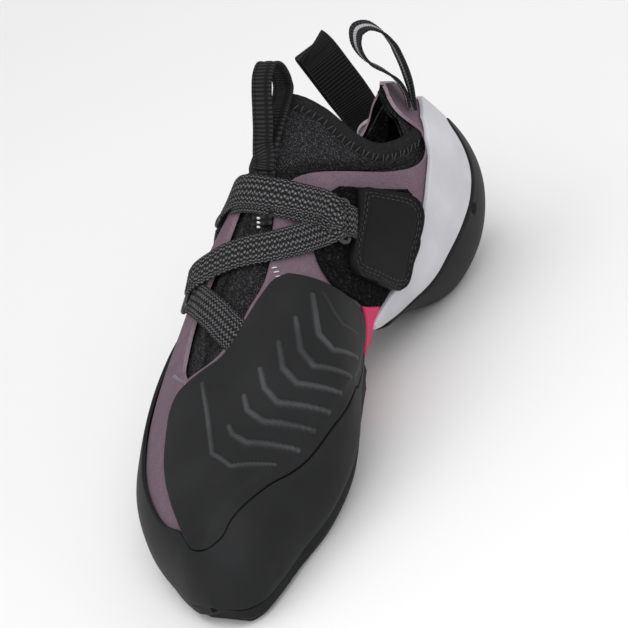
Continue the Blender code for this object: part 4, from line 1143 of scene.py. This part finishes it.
class SHOE_OT_toe_patch(bpy.types.Operator):
    """Rubber patch over the toes with its chevron ridges"""

    bl_idname = "shoe.toe_patch"
    bl_label = "Toe Patch"

    def execute(self, context):
        stations, turns = strip(PATCH, 280, 164, EVEN_ENDS)
        surface = place(stations, turns, GAP + PATCH_THICKNESS)
        relief = np.zeros(stations.shape)
        half, high = sizes().ridge_width / 2, sizes().ridge_height
        # Each ridge with its height and its width, as shares of the sizes
        lines = [(line, 1.0, 1.0) for line in CHEVRONS] + [(FRAME_LINE, 1.0, 0.8), (FAINT_ARC, 0.35, 0.6)]
        for line, tall, wide in lines:
            dense = []
            for a, b in zip(line[:-1], line[1:]):
                for t in np.linspace(0, 1, 12, endpoint=False):
                    dense.append((a[0] * (1 - t) + b[0] * t, a[1] * (1 - t) + b[1] * t))
            dense.append(line[-1])
            dense = np.array(dense)
            points = place(dense[:, 0], dense[:, 1], GAP + PATCH_THICKNESS)
            distance, share = line_distance(surface, points)
            swell = 0.70 + 0.30 * np.sin(math.pi * np.clip(share * 0.95 + 0.10, 0, 1))
            reach = half * wide * swell
            crest = np.clip(1 - distance / reach, 0, 1)
            relief = np.maximum(relief, high * tall * ease(crest, 0.0, 0.62))
        low = GAP + SEAT
        flat = place(stations, turns, low)
        share = edge_share(edge_distance(flat), 0.0010)
        slope = edge_distance(flat, (True, False, True, False))
        thin = 0.66
        share *= thin + (1 - thin) * ease(slope, 0.0030, 0.0066)
        outer = place(stations, turns, low + (PATCH_THICKNESS - SEAT) * share + relief)
        # The ridge heights tell the patch rubber where to paint its highlight.
        piece = wall("toe_patch_rubber", outer, flat, (rubbers()["patch_rubber"],), marks=relief / high)
        return settle(piece, "patch", "toe_patch")


class SHOE_OT_heel_rand(bpy.types.Operator):
    """White rand around the heel"""

    bl_idname = "shoe.heel_rand"
    bl_label = "Heel Rand"

    def execute(self, context):
        block = np.array(HEEL_RAND, dtype=float)
        along = np.linspace(0, 1, 150)
        low, high = curve(block[:, 0], along), curve(block[:, 1], along)
        side_low, side_high = low[:-1][::-1].copy(), high[:-1][::-1].copy()
        # On the lateral side it stays below the upper's edge, further below beside the heel
        margin = 0.004 + 0.030 * ease(side_high[:, 0], 0.83, 0.89)
        limit = 1 - upper_edges(side_high[:, 0])[1] - margin
        side_high[:, 1] = -np.minimum(side_high[:, 1], limit)
        side_low[:, 1] = -side_low[:, 1]
        low, high = np.concatenate([low, side_low]), np.concatenate([high, side_high])
        share = close_ends(44, 0.7)
        stations, turns = spread(low[:, 0], high[:, 0], share), spread(low[:, 1], high[:, 1], share)
        look = rubber("white_rubber", colours().white, 0.42, haze=1.06, grain=0.00003, gloss=0.4)
        piece = laid("heel_rand_rubber", stations, turns, GAP + SEAT, HEEL_RAND_THICKNESS, (look,), 0.0007)
        return settle(piece, "white_rand", "heel_rand")


class SHOE_OT_heel_cup(bpy.types.Operator):
    """Moulded heel cup, flat where it stands, with its dimple"""

    bl_idname = "shoe.heel_cup"
    bl_label = "Heel Cup"

    def execute(self, context):
        path = curve(np.array(HEEL_RAND, dtype=float)[:, 0], np.linspace(0, 1, 400))
        start, end = CUP_STATIONS
        stations = start + (end - start) * close_ends(140, EVEN_ENDS)
        edge = np.interp(stations, path[:, 0], path[:, 1]) - CUP_JOINT
        turns = edge[:, None] * (2 * close_ends(120, EVEN_ENDS) - 1)
        grid = stations[:, None] * np.ones(turns.shape[1])
        inner = place(grid, turns, GAP + SEAT)
        height = GAP + SEAT + (HEEL_CUP_THICKNESS - SEAT) * edge_share(edge_distance(inner), 0.0014)
        (station, turn), depth, floor_reach, rim_reach = DIMPLE
        hole = place(np.array(station), np.array(turn), GAP + HEEL_CUP_THICKNESS)
        reach = np.linalg.norm(place(grid, turns, GAP + HEEL_CUP_THICKNESS) - hole, axis=-1)
        height = height - depth * (1 - ease(reach, floor_reach, rim_reach))
        outer = place(grid, turns, height)
        station, length, width = CUP_REST
        rest = np.exp(-(((grid - station) / length) ** 2)) * np.exp(-((turns / width) ** 2))
        outer[..., 2] *= 1 - np.clip(1.7 * rest, 0, 1)
        outer[..., 2] = np.maximum(outer[..., 2], 0.0)
        return settle(wall("heel_cup_rubber", outer, inner, (rubbers()["cup_rubber"],)), "cup", "heel_cup")


class SHOE_OT_closure(bpy.types.Operator):
    """Pink arch rand, loop pad and hook tab with its stitches"""

    bl_idname = "shoe.closure"
    bl_label = "Arch Rand, Loop Pad and Tab"

    def execute(self, context):
        stations, turns = strip(ARCH, 80, 50)
        look = rubber("pink_rubber", colours().pink, 0.48, haze=1.15, grain=0.00003)
        rand = laid("arch_rand_rubber", stations, turns, GAP + SEAT, ARCH_THICKNESS, (look,))
        settle(rand, "arch", "arch_rand")
        stations, turns = strip(PAD, 150, 110, 0.4)
        fuzz = 0.00030 * ripple(place(stations, turns), 0.0013, 5)
        look = pile("loop_pile", colours().pile, tone(colours().pile, 14.0))
        pad = laid(
            "loop_pad_pile", stations, turns, GAP + SEAT, PAD_THICKNESS - 0.0002, (look,), 0.0011, fuzz,
        )
        settle(pad, "pile", "loop_pad")

        stations, turns = strip(TAB, 130, 110, EVEN_ENDS)
        low = 2 * (GAP + SEAT) + PAD_THICKNESS
        distance = edge_distance(place(stations, turns, low))
        border = 0.00035 * ease(distance, 0.0001, 0.0008) * (1 - ease(distance, 0.0016, 0.0024))
        groove = 0.0
        for inset in (0.0031, 0.0047):
            groove = groove - 0.00018 * np.exp(-(((distance - inset) / 0.0005) ** 2))
        look = rubber("tab_rubber", tone(colours().rubber, 0.50), 0.46, haze=1.2, grain=0.00006, gloss=0.10)
        tab = laid("tab_cover", stations, turns, low, TAB_THICKNESS, (look,), 0.0010, border + groove)
        settle(tab, "tab", "strap_tab")
        block = np.array(TAB, dtype=float)
        centre = block.reshape(-1, 2).mean(0)
        outline = np.concatenate([block[:, 0], block[::-1, 1], block[:1, 0]])
        for number, inset in enumerate((0.13, 0.205)):
            line = outline + (centre - outline) * inset
            rounded_line = curve(line, np.linspace(0, 1, 200))
            row = seam(
                f"tab_seam_{number + 1}", rounded_line, low + TAB_THICKNESS - 0.00005, sizes().stitch_length,
                sizes().stitch_pitch, sizes().thread_width, thread("dark"),
            )
            settle(row, "tab")
        return {"FINISHED"}


def strap_line(rows, count):
    """Centre line, across and outward directions of a strap that lies on the upper."""
    station, turn, lift = curve(rows, np.linspace(0, 1, count)).T
    centres = place(station, turn, GAP + WEBBING_THICKNESS * (lift + 0.5))
    along = unit(np.gradient(centres, axis=0))
    sides = unit(np.cross(outward(station, turn), along))
    return centres, sides, unit(np.cross(along, sides))


def tape_piece(name, centres, sides, normals, widths, thickness, looks, relief, columns=33):
    """Flat tape along a line. relief gives its height from metres across and along."""
    widths = np.broadcast_to(widths, len(centres))
    share = close_ends(columns, 0.5)[None, :] - 0.5
    passed = np.concatenate([[0], np.cumsum(np.linalg.norm(np.diff(centres, axis=0), axis=1))])
    across = share * widths[:, None]
    edge = rounded(widths[:, None] / 2 - np.abs(across), 0.0007)
    ends = rounded(np.minimum(passed, passed[-1] - passed), 0.0004)[:, None]
    half = thickness / 2 * (0.25 + 0.75 * edge * np.maximum(ends, 0.2))
    raised = relief(across + widths[:, None] / 2, passed[:, None] + 0 * across) * edge
    base = centres[:, None] + sides[:, None] * across[..., None]
    outer = base + normals[:, None] * (half + raised)[..., None]
    inner = base - normals[:, None] * (half + raised)[..., None]
    return wall(name, outer, inner, looks, (float(widths.max()), float(passed[-1])))


def weave(across, along):
    """Relief of the webbing's slanting floats."""
    turn = 2 * math.pi / sizes().weave_pitch
    row = np.sin(along * turn)
    return 0.00011 * np.sin(across * turn + row * 0.9) * row


def ribs(across, along):
    """Relief of the tape's ribs."""
    return 0.00005 * np.sin(along * 2 * math.pi / sizes().tape_pitch)


def strap_side(centre, short_way):
    """1 or -1: which way across the medial ring the straps lie."""
    station, turn, lift = UPPER_STRAP[3]
    return np.sign(np.dot(place(station, turn, GAP + WEBBING_THICKNESS * lift) - centre, short_way))


def folded_strap(rows, count):
    """Line and directions of a strap that starts with its fold round the medial ring's bar."""
    centre, normal, long_way, short_way = ring_axes("ring_medial")
    away = short_way * strap_side(centre, short_way)
    centres, sides, _ = strap_line(rows, 60)
    first = centres[0]
    share_along = np.dot(first - centre, long_way)
    limit = (MEDIAL_RING_SPAN - STRAP_WIDTH) / 2 - 2 * WIRE_RADIUS
    bar = centre + away * (RING_DEPTH / 2 - WIRE_RADIUS) + long_way * np.clip(share_along, -limit, limit)
    reach = WIRE_RADIUS + WEBBING_THICKNESS / 2
    fold = [bar + away * 0.0035 - normal * reach * 0.75]
    for degrees in (-90, -135, 180, 135, 90):
        angle = math.radians(degrees)
        fold.append(bar + reach * (away * math.cos(angle) + normal * math.sin(angle)))
    kept = list(range(6, len(centres), 6))
    route = np.vstack([fold, centres[kept], centres[-1:]])
    way = np.sign(np.dot(sides[0], long_way)) * long_way
    hints = np.vstack([np.broadcast_to(way, (len(fold), 3)), sides[kept], sides[-1:]])
    share = np.linspace(0, 1, count)
    line, hint = curve(route, share), curve(hints, share)
    along = unit(np.gradient(line, axis=0))
    hint = unit(hint - np.sum(hint * along, axis=1, keepdims=True) * along)
    return line, hint, unit(np.cross(along, hint))


class SHOE_OT_straps(bpy.types.Operator):
    """Two elastic straps, their anchors and the folds over the rings"""

    bl_idname = "shoe.straps"
    bl_label = "Straps"

    def execute(self, context):
        look = webbing("strap_webbing", colours().webbing, colours().webbing_fleck, sizes().weave_pitch)
        for name, rows, count, width in (
            ("strap_upper", UPPER_STRAP, 240, STRAP_WIDTH),
            ("strap_lower", LOWER_STRAP, 270, STRAP_WIDTH),
            ("strap_anchor", ANCHOR, 130, ANCHOR_WIDTH),
            ("strap_lateral_anchor", LATERAL_ANCHOR, 80, ANCHOR_WIDTH),
        ):
            if name in ("strap_upper", "strap_lower"):
                centres, sides, normals = folded_strap(rows, count)
            else:
                centres, sides, normals = strap_line(rows, count)
            piece = tape_piece(
                f"{name}_webbing", centres, sides, normals, width, WEBBING_THICKNESS, (look,), weave, 45,
            )
            settle(piece, "webbing", name)

        centres, sides, normals = (part[70:210] for part in folded_strap(UPPER_STRAP, 240))
        to_toe = sides * np.sign(sides[:, 1:2])
        lower = centres + to_toe * 0.0026 - normals * WEBBING_THICKNESS * 0.8
        width = STRAP_WIDTH * 0.96
        piece = tape_piece(
            "strap_under_layer", lower, sides, normals, width, FOLD_THICKNESS, (look,), weave, 45,
        )
        settle(piece, "webbing")

        centre, normal, long_way, short_way = ring_axes("ring_medial")
        to_tab = -short_way * strap_side(centre, short_way)
        bar = centre + to_tab * (RING_DEPTH / 2 - WIRE_RADIUS)
        route = np.array([bar + to_tab * reach + normal * rise for reach, rise in TAB_FOLD])
        route = curve(route, np.linspace(0, 1, 70))
        sides = np.broadcast_to(long_way, route.shape)
        normals = np.cross(unit(np.gradient(route, axis=0)), sides)
        piece = tape_piece(
            "tab_fold_webbing", route, sides, normals, TAB_FOLD_WIDTH, FOLD_THICKNESS, (look,), weave, 45,
        )
        settle(piece, "webbing")
        return {"FINISHED"}


def ring_axes(name):
    """Middle of a ring, and its outward, long and short directions."""
    station, turn, lift = RINGS[name]
    centre = place(station, turn, GAP + lift * WIRE_RADIUS)
    normal = outward(np.array(station), np.array(turn))
    along, around = RING_AIM
    long_way = unit(place(station + along, turn + around) - place(station - along, turn - around))
    long_way = unit(long_way - np.dot(long_way, normal) * normal)
    return centre, normal, long_way, np.cross(normal, long_way)


class SHOE_OT_rings(bpy.types.Operator):
    """Wire rings of the closure"""

    bl_idname = "shoe.rings"
    bl_label = "Rings"

    def execute(self, context):
        look = wire_finish("dark_wire", colours().wire)
        bend = 1.5 * WIRE_RADIUS
        for name in RINGS:
            span = MEDIAL_RING_SPAN if name == "ring_medial" else LATERAL_RING_SPAN
            centre, normal, long_way, short_way = ring_axes(name)
            half_span, half_depth = span / 2 - WIRE_RADIUS - bend, RING_DEPTH / 2 - WIRE_RADIUS - bend
            route = []
            for a, b, start in ((1, 1, 0), (-1, 1, 90), (-1, -1, 180), (1, -1, 270)):
                for degrees in np.linspace(0, 90, 9):
                    angle = math.radians(start + degrees)
                    along = a * half_span + bend * math.cos(angle)
                    across = b * half_depth + bend * math.sin(angle)
                    route.append(centre + long_way * along + short_way * across)
            route = np.array(route)
            forward = unit(np.roll(route, -1, axis=0) - np.roll(route, 1, axis=0))
            side = np.cross(forward, normal)
            angle = np.linspace(0, 2 * math.pi, sizes().wire_sides, endpoint=False)
            rings = route[:, None] + WIRE_RADIUS * (
                side[:, None] * np.cos(angle)[None, :, None] + normal * np.sin(angle)[None, :, None]
            )
            settle(sweep(f"{name}_wire", rings, (look,), round_trip=True), "wire", name)
        return {"FINISHED"}


def loop_line(route, side_start, side_top, count):
    """Centre line and directions of a tape through a route, its width turning from base to top."""
    share = np.linspace(0, 1, count)
    centres = curve(route, share)
    blend = np.sin(math.pi * share)
    hint = unit(np.array(side_start) * (1 - blend[:, None]) + np.array(side_top) * blend[:, None])
    along = unit(np.gradient(centres, axis=0))
    sides = unit(hint - np.sum(hint * along, axis=1, keepdims=True) * along)
    return centres, sides, np.cross(sides, along), blend


class SHOE_OT_pull_loops(bpy.types.Operator):
    """Pull loops at the front of the collar and beside the heel"""

    bl_idname = "shoe.pull_loops"
    bl_label = "Pull Loops"

    def execute(self, context):
        under, over = np.array(FRONT_LOOP_UNDER), np.array(FRONT_LOOP_OVER)
        first = place(under[:, 0], FRONT_LOOP_TURN, under[:, 1] * TAPE_THICKNESS)
        second = place(over[:, 0], FRONT_LOOP_TURN, over[:, 1] * TAPE_THICKNESS)
        free = np.array(FRONT_LOOP_TOP) * FRONT_LOOP_HEIGHT
        top = place(1.0, FRONT_LOOP_TURN) + np.stack([np.zeros(len(free)), free[:, 0], free[:, 1]], -1)
        across = (1.0, 0.0, 0.0)
        centres, sides, normals, _ = loop_line(np.vstack([first, top, second]), across, across, 320)
        width = FRONT_TAPE_WIDTH
        dark_lines = tuple(
            (width * low, width * high, colours().tape) for low, high in ((0.20, 0.42), (0.70, 0.80))
        )
        look = ribbed_tape(
            "front_tape", colours().tape, tone(colours().tape_rib, 1.1), 0.0014, lines=dark_lines,
        )

        def bands(across, along):
            ridge = np.cos((across / width - 0.5) * 4 * math.pi)
            return 0.00012 * ridge + ribs(across, along)

        piece = tape_piece("front_loop_tape", centres, sides, normals, width, TAPE_THICKNESS, (look,), bands)
        settle(piece, "tape", "pull_loop_front")

        gathered = (MEDIAL_LOOP_BASE_WIDTH * HEEL_TAPE_WIDTH, HEEL_TAPE_WIDTH)
        level = (HEEL_TAPE_WIDTH, HEEL_TAPE_WIDTH)
        plain = ribbed_tape("heel_tape", colours().tape, colours().tape_rib, sizes().tape_pitch)
        striped = ribbed_tape(
            "striped_tape", colours().tape, colours().tape_rib, sizes().tape_pitch,
            (HEEL_TAPE_WIDTH * 0.41, HEEL_TAPE_WIDTH * 0.60, colours().stripe),
        )
        for name, base, rows, inward, ways, widths, look in (
            ("medial", MEDIAL_LOOP_BASE, MEDIAL_LOOP, 1.0, MEDIAL_TAPE_SIDES, gathered, striped),
            ("lateral", LATERAL_LOOP_BASE, LATERAL_LOOP, -1.0, LATERAL_TAPE_SIDES, level, plain),
        ):
            station, turn, lift = base
            height = 2 * GAP + HEEL_RAND_THICKNESS + lift * TAPE_THICKNESS
            scale = np.array([inward, 1.0, 1.0]) * HEEL_LOOP_HEIGHT
            route = place(station, turn, height) + np.array(rows) * scale
            centres, sides, normals, blend = loop_line(route, *ways, 300)
            width = widths[0] + (widths[1] - widths[0]) * np.clip(2.2 * blend, 0, 1)
            piece = tape_piece(
                f"heel_loop_{name}_tape", centres, sides, normals, width, TAPE_THICKNESS, (look,), ribs,
            )
            settle(piece, "tape", f"pull_loop_heel_{name}")
        return {"FINISHED"}


def bartack(name, start, end, height, count, look, length, width):
    """Close cross stitches from one (station, turn) point to another."""
    share = (np.arange(count) + 0.5) / count
    station, turn = start[0] + (end[0] - start[0]) * share, start[1] + (end[1] - start[1]) * share
    centres = place(station, turn, height)
    run = unit(place(end[0], end[1]) - place(start[0], start[1]))
    normals = outward(station, turn)
    ways = unit(np.cross(normals, run)) + run * 0.35
    return stitches(name, centres, ways, normals, length, width, look)


class SHOE_OT_bartacks(bpy.types.Operator):
    """Bartacks of the front loop, the throat's edge and its lower end"""

    bl_idname = "shoe.bartacks"
    bl_label = "Bartacks"

    def execute(self, context):
        for name, start, end, height, count, kind, length, width, slot in BARTACKS:
            settle(bartack(name, start, end, height, count, thread(kind), length, width), slot)
        return {"FINISHED"}


class SHOE_OT_stage(bpy.types.Operator):
    """Pale floor, soft studio light and the camera"""

    bl_idname = "shoe.stage"
    bl_label = "Stage"

    def execute(self, context):
        deselect()
        bpy.ops.mesh.primitive_plane_add(size=40.0, location=(0.0, 0.08, -0.0002))
        floor = bpy.context.object
        floor.name = "studio_floor"
        bpy.ops.object.transform_apply(location=True, rotation=True, scale=True)
        floor.data.materials.append(floor_finish("pale_floor", colours().floor))
        target = Vector(TARGET)
        for name, away, size, power in LIGHTS:
            bpy.ops.object.light_add(type="AREA", location=target + Vector(away))
            light = bpy.context.object
            light.name = name
            light.data.size = size
            light.data.energy = power
            light.rotation_euler = (-Vector(away)).to_track_quat("-Z", "Y").to_euler()
        world = bpy.data.worlds.new("studio_world")
        world.use_nodes = True
        background = world.node_tree.nodes["Background"]
        background.inputs["Color"].default_value = (1.0, 1.0, 1.0, 1.0)
        background.inputs["Strength"].default_value = WORLD_STRENGTH
        context.scene.world = world
        context.scene.view_settings.view_transform = "Standard"

        azimuth, elevation, roll = (math.radians(angle) for angle in CAMERA_ANGLES)
        back = Vector((
            -math.sin(azimuth) * math.cos(elevation), math.cos(azimuth) * math.cos(elevation),
            math.sin(elevation),
        ))
        level_right = (-back).cross(Vector((0, 0, 1))).normalized()
        level_up = level_right.cross(-back)
        right = math.cos(roll) * level_right + math.sin(roll) * level_up
        up = -math.sin(roll) * level_right + math.cos(roll) * level_up
        where = target + back * CAMERA_AWAY + right * CAMERA_RIGHT + up * CAMERA_UP
        bpy.ops.object.camera_add(location=where)
        camera = bpy.context.object
        camera.name = "photo_camera"
        camera.rotation_euler = Matrix((right, up, back)).transposed().to_euler()
        camera.data.lens, camera.data.sensor_width = LENS, SENSOR
        context.scene.camera = camera
        return {"FINISHED"}


OPERATORS = (
    SHOE_OT_upper, SHOE_OT_sock, SHOE_OT_binding, SHOE_OT_insole, SHOE_OT_outsole, SHOE_OT_toe_rand,
    SHOE_OT_toe_patch, SHOE_OT_heel_rand, SHOE_OT_heel_cup, SHOE_OT_closure, SHOE_OT_straps,
    SHOE_OT_rings, SHOE_OT_pull_loops, SHOE_OT_bartacks, SHOE_OT_stage,
)


class SHOE_PT_panel(bpy.types.Panel):
    """Sizes, colours and pieces of the shoe"""

    bl_idname = "SHOE_PT_panel"
    bl_label = "Climbing Shoe"
    bl_space_type = "VIEW_3D"
    bl_region_type = "UI"
    bl_category = "Shoe"

    def draw(self, context):
        for group in (context.scene.shoe_sizes, context.scene.shoe_colours):
            box = self.layout.box()
            for name in type(group).__annotations__:
                box.prop(group, name)
        for operator in OPERATORS:
            self.layout.operator(operator.bl_idname)


CLASSES = (ShoeColours, ShoeSizes, *OPERATORS, SHOE_PT_panel)


def register():
    for made in CLASSES:
        bpy.utils.register_class(made)
    bpy.types.Scene.shoe_colours = PointerProperty(type=ShoeColours)
    bpy.types.Scene.shoe_sizes = PointerProperty(type=ShoeSizes)


def unregister():
    del bpy.types.Scene.shoe_sizes
    del bpy.types.Scene.shoe_colours
    for made in reversed(CLASSES):
        bpy.utils.unregister_class(made)


def main():
    """Makes the shoe and its stage."""
    register()
    bpy.ops.shoe.upper()
    bpy.ops.shoe.sock()
    bpy.ops.shoe.binding()
    bpy.ops.shoe.insole()
    bpy.ops.shoe.outsole()
    bpy.ops.shoe.toe_rand()
    bpy.ops.shoe.toe_patch()
    bpy.ops.shoe.heel_rand()
    bpy.ops.shoe.heel_cup()
    bpy.ops.shoe.closure()
    bpy.ops.shoe.straps()
    bpy.ops.shoe.rings()
    bpy.ops.shoe.pull_loops()
    bpy.ops.shoe.bartacks()
    bpy.ops.shoe.stage()


if __name__ == "__main__":
    main()
